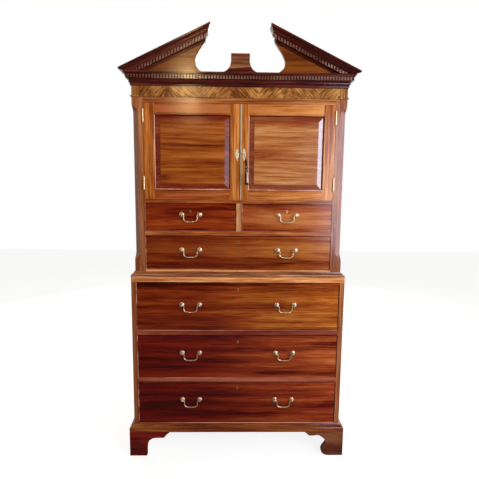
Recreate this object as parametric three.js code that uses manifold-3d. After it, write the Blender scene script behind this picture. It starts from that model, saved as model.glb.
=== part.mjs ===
// A mahogany linen press in two cases: a cupboard with sliding trays over three drawers,
// standing on a chest of three long drawers, with a broken pediment above the cornice.
// Millimetres. +X is to the viewer's right, +Y runs to the back, +Z is up.
// The origin is on the floor, under the middle of the whole press.

import * as THREE from 'three';
import { mergeVertices } from 'three/addons/utils/BufferGeometryUtils.js';
import Module from 'manifold-3d';

const wasm = await Module();
wasm.setup();

// Gaps and overruns
const GAP = 0.3; // glue line, or the rubbing gap between two pieces
const OVERRUN = 3; // how far a cutter passes the face it cuts
const ROOT = 1; // how deep a joined detail is let into what carries it

// Lower case, the chest of three long drawers
const LOWER_WIDTH = 1120;
const LOWER_DEPTH = 560;
const LOWER_SIDE_THICKNESS = 24;
const LOWER_BOTTOM_THICKNESS = 18;
const LOWER_TOP_THICKNESS = 25;
const BOTTOM_DRAWER_OPENING = 239;
const MIDDLE_DRAWER_OPENING = 243;
const TOP_DRAWER_OPENING = 263;
const BOTTOM_RAIL_HEIGHT = 19;
const MIDDLE_RAIL_HEIGHT = 24;

// Base moulding and feet
const BASE_HEIGHT = 41;
const BASE_REACH = 22;
const FOOT_HEIGHT = 137;
const FOOT_THICKNESS = 24;
const LEFT_FOOT_LENGTH = 218;
const RIGHT_FOOT_LENGTH = 213;
const REAR_BRACKET_LENGTH = 120;
const FOOT_BLOCK = 34;

// Upper case, three drawers under a cupboard, standing in from the edges of the lower one
const UPPER_SIDE_SETBACK = 20;
const UPPER_FRONT_SETBACK = 18;
const UPPER_SIDE_THICKNESS = 18;
const STILE_WIDTH = 55;
const STILE_DEPTH = 45;
const FOOT_RAIL_HEIGHT = 37;
const LONG_DRAWER_OPENING = 182;
const DRAWER_RAIL_HEIGHT = 22;
const SHORT_DRAWER_OPENING = 145;
const DOOR_RAIL_HEIGHT = 17.5;
const DOOR_OPENING = 479.5;
const TOP_RAIL_HEIGHT = 28;
const DIVIDER_WIDTH = 28;
const UPPER_BOARD_THICKNESS = 16;
const WAIST_HEIGHT = 28;

// Canted corners of the upper case
const CANT_WIDTH = 32;
const CANT_TOP_MARGIN = 31;
const CANT_BOTTOM_HEIGHT = 87;
const CANT_STOP_LENGTH = 40;
const CANT_STEPS = 6;

// Boards that both cases use
const BACK_THICKNESS = 12;
const RAIL_DEPTH = 60;
const DUST_BOARD_THICKNESS = 9;

// Frieze, cornice and pediment
const FRIEZE_HEIGHT = 51;
const FRIEZE_THICKNESS = 20;
const LIP_HEIGHT = 6;
const LIP_REACH = 5;
const CORNICE_HEIGHT = 74;
const CORNICE_REACH = 50;
const LEDGE_DROP = 10; // how far the front run stops below the crown of the side runs
const DENTIL_PITCH = 14.6;
const DENTIL_WIDTH = 9.4;
const PEDIMENT_RISE = 213;
const PEAK_SPACING = 292;
const PEAK_RETURN = 28;
const RAKE_HEIGHT = 58;
const TYMPANUM_THICKNESS = 22;
const TYMPANUM_STRIP = 6;
const SCROLL_DEPTH = 48;
const SCROLL_STEPS = 22;
const PLINTH_WIDTH = 91;
const PLINTH_HEIGHT = 86;
const PLINTH_FLARE = 40;
const PLINTH_DEPTH = 32;

// Drawers
const DRAWER_CLEARANCE = 1;
const DRAWER_BACK_CLEARANCE = 12;
const DRAWER_FRONT_THICKNESS = 20;
const DRAWER_SIDE_THICKNESS = 11;
const DRAWER_BOTTOM_THICKNESS = 8;
const DRAWER_SIDE_DROP = 12;
const BEAD_WIDTH = 3.6;
const BEAD_REACH = 2.4;

// Swan-neck handles and keyholes
const HANDLE_OFFSET = 250;
const HANDLE_SPACING = 93;
const ROSE_RADIUS = 12.5;
const POST_REACH = 20;
const BAIL_AXIS_REACH = 14.5;
const BAIL_RADIUS = 2.4;
const BAIL_DROP = 37;
const BAIL_PIN_DEPTH = 3;
const BAIL_CLEARANCE = 0.6;
const BAIL_STEPS = 34;
const KEYHOLE_RADIUS = 2.6;
const KEYHOLE_DROP = 8;
const KEYHOLE_SLOT = 2.4;

// Doors
const DOOR_THICKNESS = 22;
const DOOR_CLEARANCE = 1;
const HINGE_STILE_WIDTH = 58;
const MEETING_STILE_WIDTH = 48;
const DOOR_TOP_RAIL = 58;
const DOOR_BOTTOM_RAIL = 54;
const SIGHT_CHAMFER = 3;
const REBATE_WIDTH = 8;
const REBATE_LIP = 9;
const PANEL_TONGUE = 6;
const PANEL_BEVEL = 26;
const FIELD_SINK = 1.5;
const FIELD_STEP = 2;
const PANEL_BACK_INSET = 3;
const ASTRAGAL_WIDTH = 11;
const ASTRAGAL_REACH = 5;

// Hinges, one butt hinge node for each knuckle and its leaf in the stile
const HINGE_LENGTH = 65;
const HINGE_RADIUS = 4;
const HINGE_LEAF_WIDTH = 20;
const HINGE_LEAF_THICKNESS = 2.2;
const HINGE_TOP_INSET = 64;
const HINGE_BOTTOM_INSET = 84;

// Escutcheons, lock, key and tassel
const ESCUTCHEON_WIDTH = 20;
const ESCUTCHEON_HEIGHT = 63;
const ESCUTCHEON_THICKNESS = 1.5;
const ESCUTCHEON_UP = 229;
const LEFT_ESCUTCHEON_OFFSET = 11.5;
const KEY_OFFSET = 23.5;
const LOCK_WIDTH = 36;
const LOCK_HEIGHT = 60;
const LOCK_THICKNESS = 12.5;
const LOCK_EDGE_INSET = 1.5;
const LOCK_FRONT_WALL = 1.5;
const BOLT_THICKNESS = 4;
const BOLT_HEIGHT = 12;
const BOLT_LENGTH = 24;
const BOLT_RISE = 6;
const BOLT_THROW = 10;
const BIT_THICKNESS = 4;
const BIT_LENGTH = 8;
const BIT_WIDTH = 3;
const KEY_SHAFT_RADIUS = 2.5;
const KEY_COLLAR_RADIUS = 4;
const KEY_COLLAR_LENGTH = 3;
const KEY_REACH = 15;
const KEY_BORE_RADIUS = 3.4;
const BOW_RADIUS = 10;
const BOW_HOLE_RADIUS = 6.5;
const BOW_THICKNESS = 3;
const CORD_RADIUS = 1;
const CORD_LOOP_RADIUS = 6;
const CORD_DROP = 55;
const CORD_STEPS = 44;
const CORD_EYE_STEPS = 14;
const TASSEL_LENGTH = 94;
const TASSEL_RADIUS = 9;

// Sides of the round pieces
const SHAFT_SIDES = 12;
const BOW_SIDES = 18;
const WARD_SIDES = 16;
const PIERCING_SIDES = 8;
const POST_SIDES = 10;
const BAIL_SIDES = 6;
const CORD_SIDES = 8;
const TASSEL_SIDES = 16;
const ASTRAGAL_STEPS = 8;

// Sliding trays behind the doors
const TRAY_SETBACK = 70;
const TRAY_CLEARANCE = 5;
const TRAY_HEIGHT = 95;
const TRAY_FRONT_HEIGHT = 62;
const TRAY_THICKNESS = 10;
const LOWER_TRAY_RISE = 150;
const TRAY_SPACING = 155;
const BEARER_WIDTH = 52;
const BEARER_THICKNESS = 12;

// Outlines, as shares of the sizes above
// Cornice section, from the top of the frieze up: share of the reach, share of the height
const CORNICE_SHARES = [
  [0.04, 0], [0.04, 0.04], [0.12, 0.05], [0.13, 0.08], [0.12, 0.11], [0.08, 0.12], [0.1, 0.16],
  [0.15, 0.19], [0.2, 0.2], [0.22, 0.23], [0.2, 0.26], [0.13, 0.27], [0.14, 0.33], [0.18, 0.39],
  [0.28, 0.44], [0.28, 0.68], [0.52, 0.68], [0.52, 0.75], [0.64, 0.75], [0.64, 0.87],
  [0.8, 0.88], [0.9, 0.9], [1, 0.91], [1, 1],
];
const DENTIL_BED_SHARE = 0.28;
const DENTIL_REACH_SHARE = 0.46;
const DENTIL_SHARES = { foot: 0.45, head: 0.68 };
// Raking cornice section, square to the slope, from its foot up
const RAKE_SHARES = [
  [0.08, 0], [0.14, 0.02], [0.14, 0.07], [0.1, 0.08], [0.14, 0.13], [0.28, 0.18], [0.28, 0.47],
  [0.52, 0.47], [0.52, 0.53], [0.6, 0.54], [0.62, 0.6], [0.7, 0.66], [0.7, 0.7], [0.78, 0.72],
  [0.82, 0.78], [0.94, 0.84], [1, 0.86], [1, 1],
];
const RAKE_DENTIL_SHARES = { foot: 0.19, head: 0.47 };
// Cut-out of the pediment board, from under the raking cornice down to the strip that joins its
// wings: share of the scroll's depth, share of the height between them
const SCROLL_SHARES = [
  [0.02, 1], [0.25, 0.87], [0.53, 0.74], [0.84, 0.55], [1, 0.39], [0.97, 0.245], [0.86, 0.165],
  [0.7, 0.1], [0.47, 0.035], [0.2, 0],
];
// Base moulding, from its foot up
const BASE_SHARES = [[1, 0], [1, 0.52], [0.9, 0.62], [0.62, 0.7], [0.42, 0.82], [0.4, 0.9], [0.3, 1]];
// Waist moulding: two reeds, then a cove up to the upper case
const WAIST_SHARES = [
  [0.96, 0], [1.1, 0.06], [1.1, 0.18], [0.96, 0.25], [0.9, 0.27], [1, 0.32], [1, 0.44],
  [0.86, 0.5], [0.6, 0.58], [0.34, 0.76], [0.26, 1],
];
// Pediment plinth, from its foot up: share of the flare, share of the height
const PLINTH_FRONT_SHARE = 0.15;
const PLINTH_SHARES = [
  [1, 0], [0.62, 0.065], [0.35, 0.17], [0.19, 0.28], [0.09, 0.39], [0.03, 0.5], [0, 0.6],
  [0, 0.83], [-0.04, 0.84], [-0.04, 0.86], [0.01, 0.87], [0.01, 1],
];
// Bracket feet: share of the length from the outer edge, share of the height below the case
const SCROLL_FOOT_SHARES = [
  [1, 0], [0.94, 0.06], [0.88, 0.155], [0.77, 0.155], [0.67, 0.13], [0.6, 0.155], [0.52, 0.25],
  [0.455, 0.35], [0.437, 0.43], [0.47, 0.53], [0.526, 0.63], [0.554, 0.75], [0.545, 0.87],
  [0.484, 0.96], [0.4, 1],
];
const PLAIN_FOOT_SHARES = [
  [1, 0], [0.926, 0.09], [0.85, 0.24], [0.7, 0.24], [0.573, 0.26], [0.486, 0.35],
  [0.44, 0.52], [0.422, 0.75], [0.422, 1],
];
const REAR_BRACKET_SHARES = [[1, 0], [0.8, 0.2], [0.72, 0.5], [0.7, 1]];
// Rose and post of a handle: share of the rose's radius, share of the post's reach
const ROSE_SHARES = [
  [0, 0], [1, 0], [1, 0.08], [0.7, 0.2], [0.34, 0.28], [0.34, 0.45], [0.46, 0.52], [0.46, 0.92], [0, 1],
];
// Bail, from the post to its middle: share of the half spacing, share of the drop
const BAIL_SHARES = [
  [0.96, 0], [0.92, 0], [0.87, 0.004], [0.785, 0.09], [0.735, 0.27], [0.755, 0.52], [0.69, 0.77],
  [0.47, 0.95], [0, 1],
];
// Heights of a drawer's handles and keyhole, as shares of its opening
const SHORT_DRAWER_SHARES = { handle: 0.586, keyhole: 0.735 };
const LONG_DRAWER_SHARES = { handle: 0.577, keyhole: 0.82 };
const TOP_DRAWER_SHARES = { handle: 0.536, keyhole: 0.856 };
const MIDDLE_DRAWER_SHARES = { handle: 0.588, keyhole: 0.852 };
const BOTTOM_DRAWER_SHARES = { handle: 0.569, keyhole: 0.854 };
// Half of an escutcheon's edge, from its top: share of the half width, share of the half height
const ESCUTCHEON_SHARES = [
  [0, 1], [0.22, 0.93], [0.2, 0.78], [0.55, 0.72], [0.62, 0.58], [0.42, 0.48], [0.8, 0.36],
  [1, 0.16], [0.86, -0.04], [0.95, -0.22], [0.6, -0.38], [0.36, -0.5], [0.52, -0.66], [0.26, -0.78],
  [0.24, -0.92], [0, -1],
];
const PIERCING_SHARES = [[0.5, 0.2], [0.46, -0.2]];
const PIERCING_RADIUS_SHARE = 0.16;
// Tassel, from its foot up: share of the radius, share of the length
const TASSEL_SHARES = [
  [0, 0], [0.95, 0], [1, 0.1], [0.72, 0.62], [0.42, 0.7], [0.4, 0.73], [0.62, 0.8], [0.6, 0.9],
  [0.3, 0.98], [0, 1],
];
// Cord: where its eye starts and how far it goes round, as shares of a turn, then the places of
// its points and its lean to the right, as shares of its drop
const CORD_EYE_START_SHARE = -0.18;
const CORD_EYE_SWEEP_SHARE = 0.86;
const CORD_FALL_SHARES = [0.12, 0.3, 0.5, 0.75, 1];
const CORD_LEAN_SHARE = 0.12;

// Places worked out from the sizes
const upperDepth = LOWER_DEPTH - UPPER_FRONT_SETBACK;
const backY = (upperDepth + CORNICE_REACH) / 2;
const upperFrontY = backY - upperDepth;
const lowerFrontY = backY - LOWER_DEPTH;
const backPanelY = backY - BACK_THICKNESS;
const lowerHalf = LOWER_WIDTH / 2;
const lowerInner = lowerHalf - LOWER_SIDE_THICKNESS;
const upperHalf = lowerHalf - UPPER_SIDE_SETBACK;
const upperInner = upperHalf - UPPER_SIDE_THICKNESS;
const openingHalf = upperHalf - STILE_WIDTH;

const bottomDrawerZ = FOOT_HEIGHT + BASE_HEIGHT;
const bottomRailZ = bottomDrawerZ + BOTTOM_DRAWER_OPENING;
const middleDrawerZ = bottomRailZ + BOTTOM_RAIL_HEIGHT;
const middleRailZ = middleDrawerZ + MIDDLE_DRAWER_OPENING;
const topDrawerZ = middleRailZ + MIDDLE_RAIL_HEIGHT;
const lowerSideTopZ = topDrawerZ + TOP_DRAWER_OPENING;
const lowerTopZ = lowerSideTopZ + LOWER_TOP_THICKNESS;

// Heights inside the upper case, from its own foot
const longDrawerZ = FOOT_RAIL_HEIGHT;
const drawerRailZ = longDrawerZ + LONG_DRAWER_OPENING;
const shortDrawerZ = drawerRailZ + DRAWER_RAIL_HEIGHT;
const doorRailZ = shortDrawerZ + SHORT_DRAWER_OPENING;
const cupboardZ = doorRailZ + DOOR_RAIL_HEIGHT;
const topRailZ = cupboardZ + DOOR_OPENING;
const upperHeight = topRailZ + TOP_RAIL_HEIGHT;
const pedimentSlope = PEDIMENT_RISE / (upperHalf + CORNICE_REACH - PEAK_SPACING / 2);

// Finishes
const timber = (color, roughness) => new THREE.MeshStandardMaterial({ color, roughness, metalness: 0 });
const metal = (color, roughness) => new THREE.MeshStandardMaterial({ color, roughness, metalness: 1 });
const mahogany = () => timber(0x7a3a1c, 0.28);
const redMahogany = () => timber(0x5a2412, 0.26);
const paleMahogany = () => timber(0x9a5a30, 0.3);
const flameVeneer = () => timber(0xa5642c, 0.28);
const oak = () => timber(0x8a6a44, 0.7);
const brass = () => metal(0xc8a15c, 0.32);
const steel = () => metal(0x8d8a84, 0.4);
const silk = () => timber(0x2a211c, 0.85);

// Turns a closed geometry into a solid that can be joined and cut
function solid(geometry) {
  const bare = geometry.clone();
  bare.deleteAttribute('normal');
  bare.deleteAttribute('uv');
  const welded = mergeVertices(bare);
  return new wasm.Manifold(new wasm.Mesh({
    numProp: 3,
    vertProperties: Float32Array.from(welded.attributes.position.array),
    triVerts: Uint32Array.from(welded.index.array),
  }));
}

function geometryOf(body) {
  const mesh = body.getMesh();
  const geometry = new THREE.BufferGeometry();
  geometry.setAttribute('position', new THREE.BufferAttribute(mesh.vertProperties, 3));
  geometry.setIndex(new THREE.BufferAttribute(mesh.triVerts, 1));
  geometry.computeVertexNormals();
  return geometry;
}

function joined(...geometries) {
  return geometryOf(geometries.map(solid).reduce((whole, piece) => whole.add(piece)));
}

function cut(geometry, ...cutters) {
  return geometryOf(cutters.map(solid).reduce((whole, cutter) => whole.subtract(cutter), solid(geometry)));
}

function block(x0, x1, y0, y1, z0, z1) {
  const box = new THREE.BoxGeometry(x1 - x0, y1 - y0, z1 - z0);
  return box.translate((x0 + x1) / 2, (y0 + y1) / 2, (z0 + z1) / 2);
}

// Faces of a closed ring of points, seen along the axis that its plane faces most
function capFaces(ring) {
  const normal = new THREE.Vector3();
  ring.forEach((point, i) => {
    const next = ring[(i + 1) % ring.length];
    normal.add(new THREE.Vector3(...point).cross(new THREE.Vector3(...next)));
  });
  const sizes = [Math.abs(normal.x), Math.abs(normal.y), Math.abs(normal.z)];
  const dropped = sizes.indexOf(Math.max(...sizes));
  const flat = ring.map((point) => new THREE.Vector2(...point.filter((_, axis) => axis !== dropped)));
  const faces = THREE.ShapeUtils.triangulateShape(flat.slice(), []);
  const covered = faces.reduce((sum, face) => sum + THREE.ShapeUtils.area(face.map((i) => flat[i])), 0);
  return covered * THREE.ShapeUtils.area(flat) > 0 ? faces : faces.map(([a, b, c]) => [a, c, b]);
}

// Skins a row of rings, each with the same number of points, and closes both ends
function loft(rings) {
  const count = rings[0].length;
  const index = [];
  for (let r = 0; r < rings.length - 1; r += 1) {
    for (let i = 0; i < count; i += 1) {
      const a = r * count + i;
      const b = r * count + ((i + 1) % count);
      index.push(a, b, b + count, a, b + count, a + count);
    }
  }
  const last = (rings.length - 1) * count;
  capFaces(rings[0]).forEach(([a, b, c]) => index.push(a, c, b));
  capFaces(rings[rings.length - 1]).forEach(([a, b, c]) => index.push(last + a, last + b, last + c));
  const geometry = new THREE.BufferGeometry();
  geometry.setAttribute('position', new THREE.Float32BufferAttribute(rings.flat(2), 3));
  geometry.setIndex(index);
  return facingOut(geometry);
}

function signedVolume(geometry) {
  const position = geometry.attributes.position;
  const index = geometry.index.array;
  const corners = [new THREE.Vector3(), new THREE.Vector3(), new THREE.Vector3()];
  let volume = 0;
  for (let i = 0; i < index.length; i += 3) {
    corners.forEach((corner, k) => corner.fromBufferAttribute(position, index[i + k]));
    volume += corners[0].dot(corners[1].clone().cross(corners[2]));
  }
  return volume;
}

function facingOut(geometry) {
  if (signedVolume(geometry) < 0) {
    const index = geometry.index.array;
    for (let i = 0; i < index.length; i += 3) {
      [index[i], index[i + 1]] = [index[i + 1], index[i]];
    }
  }
  geometry.computeVertexNormals();
  return geometry;
}

// The same piece for the other side of the press
function mirrored(geometry) {
  const copy = geometry.index ? geometry.clone() : mergeVertices(geometry);
  return facingOut(copy.scale(-1, 1, 1));
}

function forSide(side, geometry) {
  return side < 0 ? mirrored(geometry) : geometry;
}

// Extrudes a plan, given as [x, y] points, upwards
function risen(points, z0, z1) {
  return loft([z0, z1].map((z) => points.map(([x, y]) => [x, y, z])));
}

// Extrudes a front view, given as [x, z] points, from y0 back to y1
function deepened(points, y0, y1) {
  return loft([y0, y1].map((y) => points.map(([x, z]) => [x, y, z])));
}

// Runs a section of [out, up] points round the left side, the front and the right side of a case
function surround(section, half, front, back, frontScale) {
  const stations = [
    (out, up) => [-half - out, back, up],
    (out, up) => [-half - out, front - out * frontScale, up],
    (out, up) => [half + out, front - out * frontScale, up],
    (out, up) => [half + out, back, up],
  ];
  return loft(stations.map((at) => section.map(([out, up]) => at(out, up))));
}

// A round section for what is drawn along a path
function roundSection(radius, sides) {
  const points = [];
  for (let i = 0; i < sides; i += 1) {
    const angle = (Math.PI * 2 * i) / sides;
    points.push(new THREE.Vector2(radius * Math.cos(angle), radius * Math.sin(angle)));
  }
  return new THREE.Shape(points);
}

function drawnAlong(path, radius, sides, steps) {
  return new THREE.ExtrudeGeometry(
    roundSection(radius, sides), { steps, bevelEnabled: false, extrudePath: path });
}

function alongY(radius, halfLength, sides) {
  return new THREE.CylinderGeometry(radius, radius, halfLength * 2, sides);
}

function piece(name, geometry, material, x = 0, y = 0, z = 0) {
  const mesh = new THREE.Mesh(geometry, material);
  mesh.name = name;
  mesh.position.set(x, y, z);
  return mesh;
}

function group(x, y, z, ...children) {
  const holder = new THREE.Group();
  holder.position.set(x, y, z);
  holder.add(...children);
  return holder;
}

// A rail across the front with a thinner dust board behind it, both level on top
function railBoard(half, height, boardThickness, depth) {
  const rail = block(-half, half, 0, RAIL_DEPTH, -height, 0);
  const board = block(-half, half, RAIL_DEPTH - ROOT, depth, -boardThickness, 0);
  return joined(rail, board);
}

// Lower case
function lowerCase() {
  const depth = backPanelY - GAP - lowerFrontY;
  const half = lowerInner - GAP;
  const sideHeight = lowerSideTopZ - GAP - FOOT_HEIGHT;
  const side = () => new THREE.BoxGeometry(LOWER_SIDE_THICKNESS, LOWER_DEPTH, sideHeight);
  const sideX = lowerHalf - LOWER_SIDE_THICKNESS / 2;
  const sideY = (lowerFrontY + backY) / 2;
  const sideZ = FOOT_HEIGHT + sideHeight / 2;
  const floor = block(-half, half, 0, depth, -LOWER_BOTTOM_THICKNESS, 0);
  const top = block(-lowerHalf, lowerHalf, 0, LOWER_DEPTH, 0, LOWER_TOP_THICKNESS);
  const back = block(-half, half, 0, BACK_THICKNESS, FOOT_HEIGHT, lowerSideTopZ - GAP);
  return group(
    0, 0, 0,
    piece('lower_side_left', side(), mahogany(), -sideX, sideY, sideZ),
    piece('lower_side_right', side(), mahogany(), sideX, sideY, sideZ),
    piece('lower_bottom', floor, oak(), 0, lowerFrontY, bottomDrawerZ - GAP),
    piece('lower_rail_2', railBoard(half, BOTTOM_RAIL_HEIGHT, DUST_BOARD_THICKNESS, depth), mahogany(),
      0, lowerFrontY, middleDrawerZ),
    piece('lower_rail_1', railBoard(half, MIDDLE_RAIL_HEIGHT, DUST_BOARD_THICKNESS, depth), mahogany(),
      0, lowerFrontY, topDrawerZ),
    piece('lower_top', top, paleMahogany(), 0, lowerFrontY, lowerSideTopZ),
    piece('lower_back', back, oak(), 0, backPanelY, 0),
    piece('base_moulding', baseMoulding(), mahogany(), 0, 0, FOOT_HEIGHT),
    piece('waist_moulding', waistMoulding(), paleMahogany(), 0, 0, lowerTopZ + GAP),
  );
}

function baseMoulding() {
  const face = BASE_SHARES.map(([out, up]) => [out * BASE_REACH, up * BASE_HEIGHT]);
  return surround([[GAP, 0], ...face, [GAP, BASE_HEIGHT]], lowerHalf, lowerFrontY, backY, 1);
}

function waistMoulding() {
  const face = WAIST_SHARES.map(([out, up]) => [out * UPPER_SIDE_SETBACK, up * WAIST_HEIGHT]);
  const section = [[GAP, 0], ...face, [GAP, WAIST_HEIGHT]];
  return surround(section, upperHalf, upperFrontY, backY, UPPER_FRONT_SETBACK / UPPER_SIDE_SETBACK);
}

// Bracket feet: two brackets that meet at the corner, with a glue block in the angle
function bracket(shares, length, height) {
  return [[0, 0], ...shares.map(([along, down]) => [along * length, -down * height]), [0, -height]];
}

function foot(frontShares, frontLength, sideShares, sideLength) {
  const height = FOOT_HEIGHT - GAP;
  const front = deepened(bracket(frontShares, frontLength, height), 0, FOOT_THICKNESS);
  const sideRings = [0, FOOT_THICKNESS].map((x) => (
    bracket(sideShares, sideLength, height).map(([along, z]) => [x, along, z])));
  const inner = FOOT_THICKNESS - ROOT;
  const glueBlock = block(inner, inner + FOOT_BLOCK, inner, inner + FOOT_BLOCK, -height, 0);
  return joined(front, loft(sideRings), glueBlock);
}

function turnedBack(geometry) {
  return facingOut(geometry.clone().scale(1, -1, 1));
}

function feet() {
  const x = lowerHalf + BASE_REACH;
  const frontY = lowerFrontY - BASE_REACH;
  const z = FOOT_HEIGHT - GAP;
  const plain = foot(PLAIN_FOOT_SHARES, LEFT_FOOT_LENGTH, PLAIN_FOOT_SHARES, LEFT_FOOT_LENGTH);
  const scrolled = foot(SCROLL_FOOT_SHARES, RIGHT_FOOT_LENGTH, SCROLL_FOOT_SHARES, RIGHT_FOOT_LENGTH);
  const plainRear = foot(REAR_BRACKET_SHARES, REAR_BRACKET_LENGTH, PLAIN_FOOT_SHARES, LEFT_FOOT_LENGTH);
  const scrolledRear = foot(
    REAR_BRACKET_SHARES, REAR_BRACKET_LENGTH, SCROLL_FOOT_SHARES, RIGHT_FOOT_LENGTH);
  return group(
    0, 0, z,
    piece('foot_front_left', plain, redMahogany(), -x, frontY, 0),
    piece('foot_front_right', mirrored(scrolled), redMahogany(), x, frontY, 0),
    piece('foot_rear_left', turnedBack(plainRear), redMahogany(), -x, backY, 0),
    piece('foot_rear_right', mirrored(turnedBack(scrolledRear)), redMahogany(), x, backY, 0),
  );
}

// Upper case sides: a board, the front stile with its canted corner, the packing that guides
// the drawers below, and the bearers that carry the trays
function cantCutter() {
  const topEnd = upperHeight - CANT_TOP_MARGIN;
  const bottomEnd = CANT_BOTTOM_HEIGHT;
  const swell = (t) => (1 - Math.cos(Math.PI * t)) / 2;
  const widths = [];
  for (let i = 0; i <= CANT_STEPS; i += 1) {
    const t = i / CANT_STEPS;
    widths.push([bottomEnd + t * CANT_STOP_LENGTH, swell(t) * CANT_WIDTH]);
  }
  for (let i = CANT_STEPS; i >= 0; i -= 1) {
    const t = i / CANT_STEPS;
    widths.push([topEnd - t * CANT_STOP_LENGTH, swell(t) * CANT_WIDTH]);
  }
  return loft(widths.map(([z, width]) => [
    [upperHalf - width - OVERRUN, upperFrontY - OVERRUN, z],
    [upperHalf + OVERRUN, upperFrontY + width + OVERRUN, z],
    [upperHalf + OVERRUN, upperFrontY - OVERRUN, z],
  ]));
}

function trayFloors() {
  const lowest = cupboardZ + LOWER_TRAY_RISE;
  return [lowest, lowest + TRAY_SPACING];
}

function hingeCentres() {
  const top = topRailZ - HINGE_TOP_INSET;
  const bottom = cupboardZ + HINGE_BOTTOM_INSET;
  return { upper: top, lower: bottom };
}

function upperSide() {
  const board = block(upperInner, upperHalf, upperFrontY + ROOT, backY, 0, upperHeight);
  const stile = block(openingHalf, upperHalf, upperFrontY, upperFrontY + STILE_DEPTH, 0, upperHeight);
  const packing = block(openingHalf, upperInner + ROOT, upperFrontY + ROOT, backPanelY - GAP, 0, cupboardZ);
  const bearers = trayFloors().map((z) => block(
    upperInner - BEARER_WIDTH, upperInner + ROOT,
    upperFrontY + STILE_DEPTH, backPanelY - GAP, z - BEARER_THICKNESS, z));
  const leafSeats = Object.values(hingeCentres()).map((z) => block(
    openingHalf - OVERRUN, openingHalf + HINGE_LEAF_THICKNESS + GAP,
    upperFrontY - OVERRUN, upperFrontY + HINGE_LEAF_WIDTH + GAP,
    z - HINGE_LENGTH / 2 - GAP, z + HINGE_LENGTH / 2 + GAP));
  return cut(joined(board, stile, packing, ...bearers), cantCutter(), ...leafSeats);
}

function upperTop(depth) {
  const railHalf = openingHalf - GAP;
  const boardHalf = upperInner - GAP;
  const rail = block(-railHalf, railHalf, 0, RAIL_DEPTH, -TOP_RAIL_HEIGHT, 0);
  const board = block(-boardHalf, boardHalf, STILE_DEPTH + GAP, depth, -UPPER_BOARD_THICKNESS, 0);
  return joined(rail, board);
}

// The rail over the long drawer carries the upright between the two short drawers
function drawerRail(half, depth) {
  const upright = block(-DIVIDER_WIDTH / 2, DIVIDER_WIDTH / 2, 0, depth, -ROOT, SHORT_DRAWER_OPENING - GAP);
  return joined(railBoard(half, DRAWER_RAIL_HEIGHT, DUST_BOARD_THICKNESS, depth), upright);
}

function upperCase() {
  const depth = backPanelY - GAP - upperFrontY;
  const half = openingHalf - GAP;
  const side = upperSide();
  const backHalf = upperInner - GAP;
  const back = block(-backHalf, backHalf, 0, BACK_THICKNESS, 0, upperHeight);
  return group(
    0, 0, lowerTopZ + GAP,
    piece('upper_side_left', mirrored(side), mahogany()),
    piece('upper_side_right', side, mahogany()),
    piece('upper_bottom', railBoard(half, FOOT_RAIL_HEIGHT, UPPER_BOARD_THICKNESS, depth), mahogany(),
      0, upperFrontY, longDrawerZ),
    piece('drawer_rail_upper', drawerRail(half, depth), mahogany(), 0, upperFrontY, shortDrawerZ),
    piece('door_rail_board', railBoard(half, DOOR_RAIL_HEIGHT, DUST_BOARD_THICKNESS, depth), mahogany(),
      0, upperFrontY, cupboardZ),
    piece('upper_top', upperTop(depth), mahogany(), 0, upperFrontY, upperHeight),
    piece('upper_back', back, oak(), 0, backPanelY, 0),
    ...hinges(),
    leftDoor(),
    rightDoor(),
    ...trays(),
  );
}

// Butt hinges: the knuckle stands proud of the door, with one leaf let into the stile
const hingeX = openingHalf - DOOR_CLEARANCE / 2;
const hingeY = upperFrontY - HINGE_RADIUS - GAP;

function hinge() {
  const knuckle = alongY(HINGE_RADIUS, HINGE_LENGTH / 2, SHAFT_SIDES).rotateX(Math.PI / 2);
  const leafX = openingHalf - hingeX;
  const leaf = block(
    leafX, leafX + HINGE_LEAF_THICKNESS, -HINGE_RADIUS / 2, upperFrontY + HINGE_LEAF_WIDTH - hingeY,
    -HINGE_LENGTH / 2, HINGE_LENGTH / 2);
  return joined(knuckle, leaf);
}

function hinges() {
  const butt = hinge();
  return [['left', -1], ['right', 1]].flatMap(([sideName, side]) => (
    Object.entries(hingeCentres()).map(([level, z]) => (
      piece(`hinge_${sideName}_${level}`, forSide(side, butt), brass(), side * hingeX, hingeY, z)))));
}

// Doors, drawn for the right side from the middle of the press outwards
const doorNear = DOOR_CLEARANCE;
const doorFar = openingHalf - DOOR_CLEARANCE;
const doorHeight = DOOR_OPENING - DOOR_CLEARANCE * 2;
const sight = {
  x0: doorNear + MEETING_STILE_WIDTH,
  x1: doorFar - HINGE_STILE_WIDTH,
  z0: DOOR_BOTTOM_RAIL,
  z1: doorHeight - DOOR_TOP_RAIL,
};

function sightRing(grow, y) {
  return [
    [sight.x0 - grow, y, sight.z0 - grow],
    [sight.x1 + grow, y, sight.z0 - grow],
    [sight.x1 + grow, y, sight.z1 + grow],
    [sight.x0 - grow, y, sight.z1 + grow],
  ];
}

function doorFrame() {
  const slab = block(doorNear, doorFar, 0, DOOR_THICKNESS, 0, doorHeight);
  const sightCut = loft([
    sightRing(SIGHT_CHAMFER + OVERRUN, -OVERRUN),
    sightRing(0, SIGHT_CHAMFER),
    sightRing(0, DOOR_THICKNESS + OVERRUN),
  ]);
  const rebate = loft([
    sightRing(REBATE_WIDTH, REBATE_LIP),
    sightRing(REBATE_WIDTH, DOOR_THICKNESS + OVERRUN),
  ]);
  return cut(slab, sightCut, rebate);
}

// Raised and fielded panel: a tongue in the rebate, a broad bevel, a small step, then the field
function doorPanel() {
  const shoulder = REBATE_LIP + GAP;
  return loft([
    sightRing(PANEL_TONGUE, DOOR_THICKNESS - PANEL_BACK_INSET),
    sightRing(PANEL_TONGUE, shoulder),
    sightRing(-GAP, shoulder),
    sightRing(-PANEL_BEVEL, FIELD_SINK + FIELD_STEP),
    sightRing(-PANEL_BEVEL, FIELD_SINK),
  ]);
}

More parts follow.
